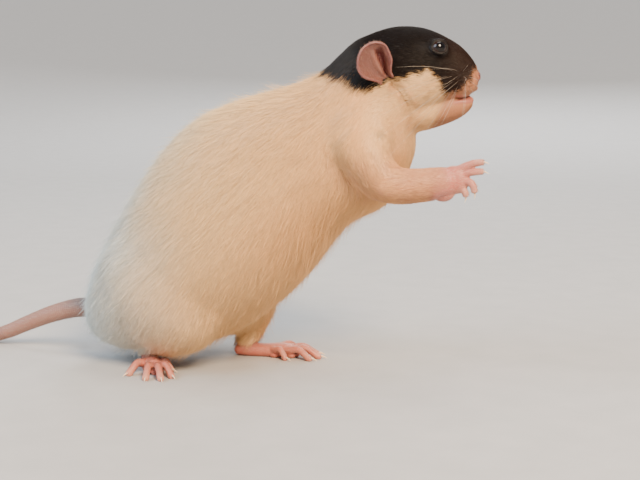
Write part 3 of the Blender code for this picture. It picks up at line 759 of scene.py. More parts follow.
def smoothing_share(points):
    """Full on the trunk, less on the muzzle and towards the wrists and ankles, least on the paws."""
    head = to_head(points)
    face = ramp(head[:, 0], 10, 24) * ramp(head[:, 2], -30, -22)
    wrist = ramp(points[:, 0], 78, 86) * fall(head[:, 2], -32, -26)
    ankle = fall(points[:, 2], 8, 14)
    share = 1.0 - (1.0 - FACE_SMOOTHING) * np.maximum(np.maximum(face, wrist), ankle)
    return blend(share, PAW_SMOOTHING, paw_share(paw_gap(points)))


# Where things are on the body.

SPINE = (
    (-46.0, 0.0, 18.5), (-31.0, 0.0, 27.0), (-13.0, 0.0, 39.0), (8.0, 0.0, 54.0), (27.5, 0.0, 67.0),
    (44.5, 0.0, 80.0), (58.7, 0.0, 90.0), (67.0, 0.0, 101.0),
    *from_head(((6.0, 0.0, -3.0), (16.0, 0.0, -2.5), (26.0, 0.0, -2.0), (35.0, 0.0, -3.0))),
)
NOSE_TIP = from_head((36.0, 0.0, -2.5))
# These are in the head's frame, on the left side.
MOUTH_LINE = (
    (35.4, 0.0, -9.2), (34.4, 1.8, -9.5), (32.4, 3.6, -10.0), (29.6, 5.2, -10.2), (26.2, 6.6, -10.9),
)
PHILTRUM = ((36.6, 0.0, -3.8), (36.5, 0.0, -6.4), (35.4, 0.0, -9.2))
NOSTRIL = ((35.9, 1.2, -2.5), (35.4, 2.0, -2.5), (34.8, 2.5, -1.9), (34.3, 2.7, -1.2))
NOSE_CENTRE = (35.4, 0.0, -2.9)
NOSE_RADII = (3.0, 3.2, 3.0)
NOSE_RIM_RADII = (3.0, 3.2, 2.8)
EAR_CREASE = (
    (4.6, 14.0, -5.0), (7.4, 13.5, -7.4), (9.9, 12.5, -11.2), (12.2, 11.2, -15.0), (11.4, 9.5, -19.5),
)
CHEEK_PATCH = (15.5, 12.0, -4.6)
BELOW_EAR = (5.4, 14.0, -5.6)
# A painted highlight: a pale grey crescent on the dark hood just behind the eye.
HIGHLIGHT_BEHIND_EYE = (16.7, 11.4, 8.0)
# Where no fur grows, since the ear stands there: its middle, and two distances from it.
EAR_CLEAR = ((1.6, 13.9, -1.6), 2.4, 3.6)
# Grey smudges behind the cheek: forward, side, up, size.
SMUDGES = ((1.9, 19.0, -21.3, 1.7), (4.6, 18.0, -19.0, 1.1))
# The lower edge of the dark hood, forward and up, with its back end at the first point.
HOOD_EDGE = (
    (-19.8, 8.0), (-19.2, 1.8), (-17.5, -0.2), (-13.0, -1.8), (-10.0, -3.2), (-7.0, -5.0), (-2.4, -6.2),
    (2.1, -5.2), (4.8, -3.8), (8.6, -3.8), (12.1, -2.2), (18.1, -1.2), (20.8, -2.8), (23.2, -6.8),
    (24.2, -8.6), (28.7, -7.3), (31.4, -5.4), (34.7, -0.1), (36.5, 1.2),
)


def head_share(points):
    """1 on the head, 0 on the trunk and the arms."""
    head = to_head(points)
    return ramp(head[:, 0], -8, 5) * ramp(head[:, 2], -33, -25)


def limb_share(points, limb, joints, inner, outer):
    """1 within inner of the line through a limb's joints, 0 beyond outer."""
    return fall(gap_to(points, [joint_of(limb, joint) for joint in joints]), inner, outer)


def both_sides(points):
    """Head frame points with the right side folded onto the left."""
    head = to_head(points)
    head[:, 1] = np.abs(head[:, 1])
    return head


def past_lids(head):
    """Distance from the eyeball's centre, and degrees outside the opening of the lids."""
    axis = unit(np.array(EYE_AXIS))
    arm = head - EYE_CENTRE
    reach = np.maximum(np.linalg.norm(arm, axis=1), 1e-6)
    way = arm / reach[:, None]
    angle = np.degrees(np.arccos(np.clip(way @ axis, -1, 1)))
    lengthwise = (way @ unit(np.cross(UP, axis))) / np.maximum(np.sin(np.radians(angle)), 0.05)
    return reach, angle - LID_ANGLE - LID_STRETCH * (2 * lengthwise ** 2 - 1)


def bare_share(points):
    """1 on the nose, the lips, the rims of the lids and the paws, where no fur grows."""
    head = both_sides(points)
    on_head = head_share(points)
    nose = fall(np.linalg.norm((head - NOSE_CENTRE) / NOSE_RADII, axis=1), 0.85, 1.15)
    upper = fall(gap_to(head, MOUTH_LINE), 1.3, 2.2) * ramp(head[:, 0], 25, 28)
    lip = fall(gap_to(head, PHILTRUM), 0.9, 1.7)
    reach, past = past_lids(head)
    eye = fall(past, 4, 8) * fall(reach, 4.4, 5.2)
    return np.maximum(on_head * np.maximum.reduce((nose, upper, lip, eye)), paw_share(paw_gap(points)))


def hood_share(points, jitter=0.0):
    """1 where the coat is dark."""
    head = to_head(points)
    edge = np.array(HOOD_EDGE)
    level = np.interp(head[:, 0], edge[:, 0], edge[:, 1], left=60.0)
    gap = gap_to(head[:, [0, 2]], edge)
    signed = np.where(head[:, 2] > level, gap, -gap)
    signed += 0.7 * wave(points, 5.0, 3) + 0.4 * wave(points, 1.8, 4) + jitter
    return ramp(signed, -0.8, 0.8) * ramp(points[:, 2], 85, 95)


def coat_colour(points, jitter=0.0):
    """The coat's markings, with some painted light, shared by skin and fur."""
    head = both_sides(points)
    on_head = head_share(points)
    # From rump to chest: bluish white, cream, warm tan; partly own tone, partly painted light.
    warm = ramp(points[:, 0] + 4 * wave(points, 30, 5), -46, 16)
    colour = blend(WHITE_COOL, WHITE_CREAM, warm)
    chest = ramp(points[:, 0] - 0.25 * points[:, 2] + 4 * wave(points, 24, 6), -34, 56)
    colour = blend(colour, WHITE_WARM, 0.8 * chest * (1 - 0.6 * on_head))
    for arm in ARMS.values():
        upper = limb_share(points, arm, ("shoulder", "elbow"), 8.0, 13.0) * fall(points[:, 2], 76, 88)
        streaks = ramp(wave(points * (2.0, 1.0, 0.5), 2.2, 71), -0.1, 0.9)
        colour = blend(colour, ARM_PINK, (0.35 + 0.30 * streaks) * upper)
        fore = limb_share(points, arm, ("elbow", "wrist"), 7.0, 9.5)
        wrist = fall(distance(points, joint_of(arm, "wrist")), 3, 22)
        colour = blend(colour, ARM_PINK, 0.85 * wrist * fore)
    colour = blend(colour, PAW_PALE, 0.6 * fall(paw_gap(points), 1.5, 4.0))
    cheek = bell(distance(head, CHEEK_PATCH), 8.0)
    colour = blend(colour, CHEEK_CREAM, np.clip(1.4 * cheek, 0, 1) * on_head)
    jaw = ramp(head[:, 0] - 0.35 * head[:, 2], 24.5, 29) * on_head
    colour = blend(colour, JAW_PINK, 0.85 * jaw)
    crease = bell(gap_to(head, EAR_CREASE), 1.6)
    below_ear = bell(distance(head, BELOW_EAR), 2.6)
    colour = blend(colour, STAIN_TAN, np.maximum(0.5 * crease, 0.8 * below_ear) * on_head)
    throat = fall(head[:, 2], -20, -10) * fall(np.abs(head[:, 0] - 9), 2, 9) * on_head
    colour = blend(colour, JAW_PINK, 0.3 * throat)
    for forward, side, up, size in SMUDGES:
        colour = blend(colour, SMUDGE_GREY, 0.7 * bell(distance(head, (forward, side, up)), size))
    dark = blend(HOOD_BROWN, HOOD_MUZZLE, ramp(head[:, 0], 19, 30))
    nape = ramp(-head[:, 0] + wave(points, 6, 8), 0.5, 9)
    dark = blend(dark, NAPE_GREY, 0.85 * nape)
    # Painted highlight: pale grey just behind the eye.
    dark = blend(dark, NAPE_GREY, 0.9 * bell(distance(head, HIGHLIGHT_BEHIND_EYE), 2.0))
    return blend(colour, dark, hood_share(points, jitter))


# The coat by place: depth, tuft length, tuft width, tufts on a square millimetre.
TRUNK_COAT = np.array((1.25, 6.6, 0.27, 8.2))
NECK_COAT = np.array((0.85, 4.2, 0.24, 10.0))
HEAD_COAT = np.array((0.50, 2.5, 0.19, 14.0))
MUZZLE_COAT = np.array((0.24, 1.3, 0.15, 20.0))
FOREARM_COAT = np.array((0.45, 2.6, 0.19, 13.0))
SHANK_COAT = np.array((0.60, 3.2, 0.23, 10.0))
CUFF_COAT = np.array((0.22, 1.5, 0.15, 14.0))


def coat_at(points):
    """Depth, length, width and density of the coat at each point, as four columns."""
    head = to_head(points)
    on_head = head_share(points)
    neck = ramp(head[:, 0], -26, -8) * ramp(head[:, 2], -42, -26)
    coat = blend(TRUNK_COAT[None], NECK_COAT[None], neck)
    coat = blend(coat, HEAD_COAT[None], on_head)
    coat = blend(coat, MUZZLE_COAT[None], on_head * ramp(head[:, 0], 19, 28))
    for arm in ARMS.values():
        coat = blend(coat, FOREARM_COAT[None], limb_share(points, arm, ("elbow", "wrist"), 6.0, 10.0))
    for leg in LEGS.values():
        coat = blend(coat, SHANK_COAT[None], limb_share(points, leg, ("ankle",), 6.5, 12.0))
    return blend(coat, CUFF_COAT[None], fall(paw_gap(points), 1.5, 4.5))


# The skin.

# Grooves along lines of the head: depth and width, then how high the lip beside it rises, how far
# from the line, and its width. The nose's rim and the bumps of the whiskers: rise or depth, width.
GROOVES = (
    (MOUTH_LINE, 0.50, 0.38, 0.22, 1.0, 0.55),
    (PHILTRUM, 0.55, 0.36, 0.16, 0.8, 0.4),
    (NOSTRIL, 0.95, 0.42, 0.28, 1.0, 0.4),
    (EAR_CREASE, 0.8, 1.0, 0.35, 2.4, 1.3),
)
NOSE_RIM = (0.22, 0.09)
WHISKER_BUMP = (0.16, 0.42)
# How strongly hollows of the skin are shaded, and tints for flushed skin and paws.
HOLLOW_GAIN = 4
FLUSHED = np.array((0.95, 0.80, 0.74))
PAW_FLUSHED = (1.0, 0.82, 0.82)


def sculpted(points, normals):
    """Mouth, lips, nose, nostrils, lids, whisker bumps and folds, moved along the normals."""
    head = both_sides(points)
    on_head = head_share(points)
    push = np.zeros(len(points))
    for line, depth, width, rise, aside, lip_width in GROOVES:
        gap = gap_to(head, line)
        push += rise * bell(gap - aside, lip_width) - depth * bell(gap, width)
    rim = np.linalg.norm((head - NOSE_CENTRE) / NOSE_RIM_RADII, axis=1)
    push -= NOSE_RIM[0] * bell(rim - 1.05, NOSE_RIM[1])
    for row, place in WHISKERS:
        push += WHISKER_BUMP[0] * bell(distance(head, whisker_root(row, place)), WHISKER_BUMP[1])
    moved = points + normals * (push * on_head)[:, None]
    return lidded(moved)


def lidded(points):
    """The skin drawn up round each eyeball, with an opening longer than it is high."""
    head = to_head(points)
    left = np.where(head[:, 1] < 0, -1.0, 1.0)
    head[:, 1] *= left
    reach, past = past_lids(head)
    lid = EYE_RADIUS + LID_RIM * fall(past, 3, 34)
    target = np.where(past < 66, np.maximum(reach, lid), reach)
    inside = fall(past, -3, 4)
    target = blend(target, EYE_RADIUS - 0.5, inside)
    near = fall(reach, 6.0, 7.5)
    head = EYE_CENTRE + (head - EYE_CENTRE) * (1 + (target / reach - 1) * near)[:, None]
    head[:, 1] *= left
    return from_head(head)


# Whiskers grow in rows on the pad: each row's height, its first whisker's place forward, and the
# step back to the next. The top row has one fewer.
PAD_ROW_HEIGHTS = (-0.6, -2.3, -4.0, -5.7, -7.3)
PAD_FIRST = 32.2
PAD_STEP = 2.1
WHISKERS = [(row, place) for row in range(5) for place in range(4 + (row > 0))]


def whisker_root(row, place):
    """Where a whisker grows, in the head's frame on the left side."""
    forward = PAD_FIRST - PAD_STEP * place - 0.25 * abs(row - 2)
    fall = (forward - 29.2) / 7.5
    side = 3.6 + 4.9 * math.sqrt(max(0.0, 1 - fall * fall - ((PAD_ROW_HEIGHTS[row] + 4.6) / 8.0) ** 2))
    return np.array((forward, side, PAD_ROW_HEIGHTS[row]))


SKIN_TRIANGLES = 240_000


def make_skin():
    """The whole body's flesh as one surface under the coat."""
    shapes = body_shapes()
    for paw in PAWS.values():
        shapes += paw.flesh
    points, faces = merged(shapes)
    skin = add_object("skin", mesh_of("skin", points, faces))
    fused(skin, BODY_VOXEL, BODY_SMOOTHING, smoothing_share)
    mesh = skin.data
    points, normals = points_of(mesh), normals_of(mesh)
    depth = coat_at(points)[:, 0] * (1 - bare_share(points))
    points = points - normals * depth[:, None]
    points = sculpted(points, normals)
    points[:, 2] = np.maximum(points[:, 2], 0.0)
    move_points(mesh, points)
    kept = np.maximum(head_share(points), paw_share(paw_gap(points)))
    weigh(skin, fall(kept, 0.1, 0.5))
    thin = skin.modifiers.new("Thin", "DECIMATE")
    thin.vertex_group = "share"
    thin.ratio = SKIN_TRIANGLES / (2 * len(mesh.polygons))
    thin.use_collapse_triangulate = True
    applied(skin)
    skin.vertex_groups.clear()
    mesh = skin.data
    mesh.shade_smooth()
    points = points_of(mesh)
    bare = bare_share(points)
    # How hollow each point is, for painted shade in the skin's hollows.
    hollow_shade = np.clip(hollows(mesh) * HOLLOW_GAIN, 0, 1)
    colour = coat_colour(points)
    flushed = blend(colour, colour * FLUSHED, 1 - hood_share(points))
    colour = blend(flushed, bare_colour(points, hollow_shade), bare)
    store(mesh, "coat", colour)
    store(mesh, "bare", bare)
    store(mesh, "hollow_shade", hollow_shade)
    return skin


def bare_colour(points, hollow_shade):
    """Pink lips, a browner nose, dark nostrils and lids, paws with painted shade, deep red, between the
    toes.
    """
    head = both_sides(points)
    colour = blend(BARE_PINK, NOSE_PINK, ramp(head[:, 2], -8, -3))
    shades = ((NOSTRIL, 0.55, 1.0), (MOUTH_LINE, 0.45, 0.75), (PHILTRUM, 0.4, 0.7))
    inside = np.maximum.reduce([most * bell(gap_to(head, line), wide) for line, wide, most in shades])
    colour = blend(colour, LIP_SHADE, inside)
    reach, _ = past_lids(head)
    colour = blend(colour, LID_DARK, fall(reach, 5, 6))
    gap = paw_gap(points)
    tips = np.concatenate([paw.tips for paw in PAWS.values()])
    reach = np.min([distance(points, tip) for tip in tips], axis=0)
    paw = blend(PAW_PINK, PAW_PALE, fall(reach, 1.5, 5.0))
    paw = blend(paw, PAW_PINK * PAW_FLUSHED, 0.5 * ramp(wave(points, 4.0, 61), -0.2, 0.9))
    # Painted shade: deep red in the hollows between the toes.
    paw = blend(paw, PAW_HOLLOW_SHADE, 0.8 * hollow_shade * fall(reach, 7, 11))
    return blend(colour, paw, fall(gap, 1.5, 3.0))


# The lie of the coat.

# How far the hair of the flanks turns downwards.
FLANK_FALL = 0.62
# Tufts lean together in clumps: how far apart on a coat 7 mm long, and how far their tips are drawn.
CLUMP_SPACING = 2.6
CLUMP_PULL = 0.28
# A tuft's patch on the unwrap, how far along the tuft each of its points is, and a piece's most tufts.
PATCH = 0.003
TUFT_ALONG = np.array((0.0, 0.0, 0.0, 1.0))
PIECE_TUFTS = 48_000
# How many of the long tufts are guard hairs, which stand out.
GUARD_SHARE = 0.14
GUARD_LENGTH = 1.2
GUARD_WIDTH = 0.5
# How deep tufts are rooted, and the lowest that a tip may lie over the floor.
ROOT_DEPTH = 0.10
LOWEST_TIP = 0.15
YELLOWED = np.array((1.0, 0.93, 0.80))


def flow_at(points):
    """Which way the hair lies, before it is laid along the skin."""
    spine = smooth_path(SPINE, 4)
    _, along, _ = near_path(points, spine)
    flow = -heading(spine, along, 3)
    flank = ramp(np.abs(points[:, 1]), 3, 18)
    flow = flow - UP * (FLANK_FALL * flank)[:, None]
    flow = blend(unit(flow), unit(points - NOSE_TIP), head_share(points))
    for arm in ARMS.values():
        shoulder, elbow, wrist = (joint_of(arm, joint) for joint in ("shoulder", "elbow", "wrist"))
        upper = limb_share(points, arm, ("shoulder", "elbow"), 8.5, 13.0)
        upper = upper * ramp(np.abs(points[:, 1]), 9, 14) * fall(points[:, 2], 78, 90)
        flow = blend(flow, unit(elbow - shoulder)[None], 0.8 * upper)
        fore = limb_share(points, arm, ("elbow", "wrist"), 6.5, 9.5)
        flow = blend(flow, unit(wrist - elbow)[None], fore)
    for leg in LEGS.values():
        low = limb_share(points, leg, ("ankle",), 6.0, 12.0)
        flow = blend(flow, np.array((0.1, 0.0, -1.0))[None], low)
    return unit(flow)


def scattered(mesh, density, draw):
    """Places spread over the mesh's triangles, and normals. Density is for each of the mesh's
    points, in places a square millimetre."""
    mesh.calc_loop_triangles()
    flat = np.empty(len(mesh.loop_triangles) * 3, np.int32)
    mesh.loop_triangles.foreach_get("vertices", flat)
    corners = flat.reshape(-1, 3)
    points, normals = points_of(mesh), normals_of(mesh)
    a, b, c = (points[corners[:, k]] for k in range(3))
    area = np.linalg.norm(np.cross(b - a, c - a), axis=1) / 2
    total = np.cumsum(area * density[corners].mean(axis=1))
    count = int(total[-1])
    chosen = np.searchsorted(total, np.arange(count) + draw.random(count))
    chosen = np.minimum(chosen, len(corners) - 1)
    s, t = draw.random(count), draw.random(count)
    over = s + t > 1
    s, t = np.where(over, 1 - s, s)[:, None], np.where(over, 1 - t, t)[:, None]
    roots = a[chosen] + (b - a)[chosen] * s + (c - a)[chosen] * t
    n = [normals[corners[chosen, k]] for k in range(3)]
    return roots, unit(n[0] * (1 - s - t) + n[1] * s + n[2] * t)


def laid(tree, points):
    """The nearest places on the skin, and the normals there."""
    row = (points + SHIFT) * MM
    places, normals = np.empty_like(points), np.empty_like(points)
    for i, point in enumerate(row):
        place, normal, _, _ = tree.find_nearest(Vector(point))
        places[i] = place
        normals[i] = normal
    return places / MM - SHIFT, normals


def clumped(roots, tips, spacing, pull, draw):
    """Tips drawn towards the tip of the nearest of some of the tufts, so that the coat locks."""
    grid = np.floor(roots / spacing[:, None]).astype(np.int64)
    key = grid @ np.array((73856093, 19349663, 83492791))
    _, first = np.unique(key, return_index=True)
    first = first[draw.random(len(first)) < 0.8]
    tree = KDTree(len(first))
    for k, i in enumerate(first):
        tree.insert(Vector(roots[i]), k)
    tree.balance()
    lead = np.array([first[tree.find(Vector(root))[1]] for root in roots])
    share = pull * draw.uniform(0.3, 1.0, len(roots))
    return blend(tips, tips[lead] + 0.35 * (roots - roots[lead]), share)


def tuft_mesh(name, roots, tips, ups, width, spots):
    """Closed spikes with three sides, each a patch of the OFBake map, shaded mostly as the body is."""
    count = len(roots)
    way = unit(tips - roots)
    across = unit(np.cross(way, ups))
    half = (width / 2)[:, None]
    rows = np.stack((roots - across * half, roots + across * half, roots + ups * half, tips), axis=1)
    shades = np.stack((ups - 0.7 * across, ups + 0.7 * across, ups - 0.2 * way, ups + 0.3 * way), axis=1)
    faces = np.array(((0, 1, 2), (0, 3, 1), (1, 3, 2), (2, 3, 0)))
    loops = (faces[None] + (np.arange(count) * 4)[:, None, None]).ravel()
    mesh = bpy.data.meshes.new(name)
    mesh.vertices.add(count * 4)
    mesh.vertices.foreach_set("co", ((rows.reshape(-1, 3) + SHIFT) * MM).astype(np.float32).ravel())
    mesh.loops.add(len(loops))
    mesh.loops.foreach_set("vertex_index", loops.astype(np.int32))
    mesh.polygons.add(count * 4)
    mesh.polygons.foreach_set("loop_start", np.arange(0, len(loops), 3, dtype=np.int32))
    mesh.update(calc_edges=True)
    patch = np.array(((-1, -1), (1, -1), (0, 0), (0, 1))) * PATCH / 2
    low, high = spots.min(axis=0), spots.max(axis=0)
    room = 1 - 2 * PATCH
    middle = PATCH + (spots - low) / np.maximum(high - low, 1e-6) * room
    corner = (middle[:, None] + patch[None]).reshape(-1, 2)
    layer = mesh.uv_layers.new(name="OFBake")
    layer.data.foreach_set("uv", corner[loops].astype(np.float32).ravel())
    mesh.shade_smooth()
    mesh.normals_split_custom_set_from_vertices(unit(shades).reshape(-1, 3).tolist())
    return mesh


def charts():
    """Lines that parts of the skin are unwrapped round: the body, its dark hood, each forearm."""
    spine = smooth_path(SPINE, 3)
    lines = {"body": spine, "hood": spine}
    for name, arm in ARMS.items():
        lines[f"arm_{name}"] = np.array([joint_of(arm, joint) for joint in ("shoulder", "elbow", "wrist")])
    return lines


def chart_of(roots, dark):
    """Which of those parts each root belongs to."""
    chart = np.where(dark, "hood", "body").astype("U12")
    for name, arm in ARMS.items():
        chart[limb_share(roots, arm, ("elbow", "wrist"), 7.0, 9.0) > 0.5] = f"arm_{name}"
    return chart


def unwrapped(roots, line):
    """A root's place on the skin's unwrap: the turn round the line, and how far along it."""
    _, along, foot = near_path(roots, line)
    ahead = heading(line, along, 2)
    arm = roots - foot
    turn = np.arctan2(arm @ LEFT, dots(arm, unit(np.cross(ahead, LEFT))))
    return np.stack((turn, along + dots(arm, ahead)), 1)


def make_coat(skin, tree):
    """The fur: tufts rooted in the skin, their tips laid over it at the coat's depth."""
    draw = np.random.default_rng(SEED)
    points = points_of(skin.data)
    place, inner, outer = EAR_CLEAR
    ear = fall(distance(both_sides(points), place), inner, outer) * head_share(points)
    density = coat_at(points)[:, 3] * (1 - ramp(bare_share(points), 0.25, 0.7)) * (1 - ear)
    roots, ups = scattered(skin.data, density, draw)
    coat = coat_at(roots)
    depth, length, width = coat[:, 0], coat[:, 1], coat[:, 2]
    count = len(roots)
    way = flow_at(roots)
    way = unit(way - ups * dots(way, ups)[:, None])
    side = np.cross(ups, way)
    stray = 0.14 * wave(roots, 9.0, 21) + 0.10 * wave(roots, 3.0, 22) + draw.normal(0, 0.10, count)
    way = unit(way + side * stray[:, None])
    length = length * draw.uniform(0.7, 1.2, count)
    fringe = ramp(depth, 0.8, 1.25)
    guard = draw.random(count) < GUARD_SHARE * fringe
    length = np.where(guard, length * GUARD_LENGTH, length)
    width = np.where(guard, width * GUARD_WIDTH, width * draw.uniform(0.75, 1.25, count))
    spacing = np.maximum(CLUMP_SPACING * length / 7.0, 0.8)
    tips = clumped(roots, roots + way * length[:, None], spacing, CLUMP_PULL, draw)
    ends, end_ups = laid(tree, tips)
    rise = depth * draw.uniform(0.7, 1.15, count)
    rise += fringe * draw.random(count) ** 4 * 0.8
    reared = np.where(guard, fringe * (0.8 + 3.1 * draw.random(count) ** 1.3), 0.0)
    rise += reared * (0.75 + 0.45 * wave(roots, 7.0, 41))
    tips = ends + end_ups * rise[:, None]
    tips[:, 2] = np.maximum(tips[:, 2], LOWEST_TIP)
    roots = roots - ups * ROOT_DEPTH
    jitter = draw.normal(0, 0.45, count)
    colour = coat_colour(roots, jitter)
    tone = draw.normal(0, 1, count) + 0.7 * wave(roots, 2.2, 31)
    colour = colour * np.clip(1 + 0.04 * tone, 0.7, 1.2)[:, None]
    yellow = np.clip(draw.normal(0.12, 0.3, count), 0, 1)
    hood = hood_share(roots, jitter)
    colour = blend(colour, colour * YELLOWED, yellow * (1 - hood))
    glint = np.where(guard, 0.40, 0.14)[:, None]
    shading = unit(0.5 * ups + end_ups + glint * draw.normal(0, 1, (count, 3)))
    chart = chart_of(roots, hood > 0.5)
    made = []
    for name, line in charts().items():
        chosen = np.flatnonzero(chart == name)
        spots = unwrapped(roots[chosen], line)
        order = np.argsort(spots[:, 1], kind="stable")
        parts = np.array_split(order, math.ceil(len(order) / PIECE_TUFTS))
        for number, part in enumerate(parts, 1):
            who = chosen[part]
            label = f"coat_{name}_{number}"
            mesh = tuft_mesh(label, roots[who], tips[who], shading[who], width[who], spots[part])
            store(mesh, "coat", np.repeat(colour[who], 4, axis=0))
            store(mesh, "along", np.tile(TUFT_ALONG, len(who)))
            made.append(add_object(mesh.name, mesh))
    return made


# Materials. A noise's or a cell's scale is how many of them a metre holds.

FUR_STAIN = (0.45, 0.36, 0.26)
SKIN_BLOTCH = (0.55, 0.40, 0.34)
# Painted shade for the skin's hollows.
SKIN_HOLLOW_SHADE = (0.35, 0.16, 0.13)
FLESH_BLOTCH = (0.80, 0.50, 0.44)
# Painted shade for the hollows of bare flesh.
FLESH_HOLLOW_SHADE = (0.50, 0.20, 0.17)
WHISKER_TINT = (0.5, 0.42, 0.36)
IRIS_DARK = (0.010, 0.004, 0.003)
IRIS_PALE = (0.030, 0.010, 0.007)
PUPIL = (0.002, 0.001, 0.001)
CLAW_DULL = CLAW_HORN * 0.9
CLAW_ROOT = CLAW_HORN * (0.9, 0.6, 0.5)
# How far light spreads under a surface, in metres of red, green and blue.
SKIN_SCATTER = (0.0012, 0.0005, 0.0003)
FLESH_SCATTER = (0.0014, 0.0005, 0.0003)
CLAW_SCATTER = (0.0008, 0.0005, 0.0003)


class Looks:
    """A material whose nodes are added one after another."""

    def __init__(self, name):
        self.material = bpy.data.materials.new(name)
        self.material.use_nodes = True
        self.tree = self.material.node_tree
        self.shader = self.tree.nodes["Principled BSDF"]

    def set_socket(self, socket, value):
        if isinstance(value, bpy.types.NodeSocket):
            self.tree.links.new(value, socket)
        else:
            socket.default_value = value

    def node(self, kind, inputs=None, **settings):
        made = self.tree.nodes.new(kind)
        for key, value in settings.items():
            setattr(made, key, value)
        for key, value in (inputs or {}).items():
            self.set_socket(made.inputs[key], value)
        return made

    def attribute(self, name, output="Color"):
        return self.node("ShaderNodeAttribute", attribute_name=name).outputs[output]

    def place(self):
        return self.node("ShaderNodeTexCoord").outputs["Object"]

    def noise(self, scale, detail=3.0, stretch=(1.0, 1.0, 1.0)):
        mapping = self.node("ShaderNodeMapping", {"Vector": self.place(), "Scale": stretch})
        vector = mapping.outputs["Vector"]
        inputs = {"Vector": vector, "Scale": scale, "Detail": detail, "Roughness": 0.55}
        return self.node("ShaderNodeTexNoise", inputs).outputs["Fac"]

    def cells(self, scale):
        inputs = {"Vector": self.place(), "Scale": scale}
        return self.node("ShaderNodeTexVoronoi", inputs).outputs["Distance"]

    def between(self, value, low, high, out_low=0.0, out_high=1.0):
        inputs = {"Value": value, "From Min": low, "From Max": high, "To Min": out_low, "To Max": out_high}
        return self.node("ShaderNodeMapRange", inputs).outputs["Result"]

    def mottle(self, scale, low=0.3, high=0.7, out_low=0.0, out_high=1.0):
        return self.between(self.noise(scale), low, high, out_low, out_high)

    def mix(self, share, a, b, kind="MIX"):
        made = self.node("ShaderNodeMix", data_type="RGBA", blend_type=kind)
        for socket, value in ((made.inputs[0], share), (made.inputs[6], a), (made.inputs[7], b)):
            self.set_socket(socket, (*value, 1.0) if isinstance(value, tuple) else value)
        return made.outputs[2]

    def tinted(self, colour, tint, share, most=1.0):
        """The colour times the tint, where share is 1 as much as most says."""
        much = self.node("ShaderNodeMath", {0: share, 1: most}, operation="MULTIPLY").outputs[0]
        return self.mix(much, colour, tint, "MULTIPLY")

    def bump(self, height, strength, distance, below=None):
        inputs = {"Height": height, "Strength": strength, "Distance": distance * MM}
        if below:
            inputs["Normal"] = below
        return self.node("ShaderNodeBump", inputs).outputs["Normal"]

    def finish(self, **inputs):
        for key, value in inputs.items():
            self.set_socket(self.shader.inputs[key.replace("_", " ")], value)
        return self.material


def fur_material(name, gloss):
    """Tufts in the coat's colours, darker at the root: painted shade deep in the coat."""
    looks = Looks(name)
    # Painted shade along each tuft: darker at its root, deep in the coat, a little brighter at its tip.
    shade = looks.between(looks.attribute("along", "Fac"), 0.0, 0.8, 0.86, 1.06)
    greys = {"Red": shade, "Green": shade, "Blue": shade}
    grey = looks.node("ShaderNodeCombineColor", greys).outputs[0]
    colour = looks.mix(1.0, looks.attribute("coat"), grey, "MULTIPLY")
    colour = looks.tinted(colour, FUR_STAIN, looks.mottle(900.0, 0.35, 0.65), 0.10)
    return looks.finish(
        Base_Color=colour, Roughness=looks.mottle(2400.0, 0.3, 0.7, 0.32, 0.50),
        Specular_IOR_Level=gloss, Sheen_Weight=0.02, Sheen_Roughness=0.4,
    )


def skin_material():
    """Short fine fur as bump, with bare skin at the nose, the lips and the lids."""
    looks = Looks("skin")
    bare = looks.attribute("bare", "Fac")
    colour = looks.tinted(looks.attribute("coat"), SKIN_BLOTCH, looks.mottle(420.0), 0.16)
    # Painted shade, darker in the hollows.
    colour = looks.tinted(colour, SKIN_HOLLOW_SHADE, looks.attribute("hollow_shade", "Fac"), 0.55)
    height = looks.node("ShaderNodeMix", {0: bare, 2: looks.noise(2600.0, 2.0), 3: looks.cells(2300.0)})
    return looks.finish(
        Base_Color=colour, Roughness=looks.between(bare, 0.0, 1.0, 0.75, 0.42),
        Normal=looks.bump(height.outputs[0], 0.5, 0.12),
        Subsurface_Weight=0.12, Subsurface_Radius=SKIN_SCATTER, Subsurface_Scale=1.0,
    )


def flesh_material(name, scales, roughness, subsurface):
    """Bare skin whose colour is stored on its points, with fine scales."""
    looks = Looks(name)
    colour = looks.tinted(looks.attribute("coat"), FLESH_BLOTCH, looks.mottle(520.0), 0.28)
    # Painted shade, darker in the hollows stored on each piece: the ear's furrow, the tail's ring seams.
    colour = looks.tinted(colour, FLESH_HOLLOW_SHADE, looks.attribute("hollow_shade", "Fac"), 0.75)
    fine = looks.bump(looks.noise(3800.0), 0.35, 0.05)
    return looks.finish(
        Base_Color=colour, Roughness=looks.mottle(900.0, 0.3, 0.7, roughness - 0.08, roughness + 0.10),
        Normal=looks.bump(looks.cells(scales), 0.45, 0.10, fine),
        Subsurface_Weight=subsurface, Subsurface_Radius=FLESH_SCATTER, Subsurface_Scale=1.0,
    )


def eye_material():
    looks = Looks("eye")
    pupil = looks.between(looks.attribute("facing", "Fac"), 0.80, 0.84)
    iris = looks.mix(looks.mottle(900.0, 0.35, 0.65), IRIS_DARK, IRIS_PALE)
    return looks.finish(
        Base_Color=looks.mix(pupil, iris, PUPIL),
        Roughness=looks.mottle(260.0, 0.3, 0.7, 0.03, 0.07),
        Coat_Weight=0.25, Coat_Roughness=0.05, IOR=1.33,
    )


def claw_material():
    looks = Looks("claw")
    root = looks.mix(looks.mottle(1500.0), tuple(CLAW_DULL), tuple(CLAW_ROOT))
    along = looks.between(looks.attribute("along", "Fac"), 0.1, 0.7)
    streaks = looks.noise(2600.0, stretch=(0.3, 1.0, 1.0))
    return looks.finish(
        Base_Color=looks.mix(along, root, tuple(CLAW_HORN)), Roughness=0.32,
        Normal=looks.bump(streaks, 0.3, 0.04),
        Subsurface_Weight=0.25, Subsurface_Radius=CLAW_SCATTER, Subsurface_Scale=1.0,
    )


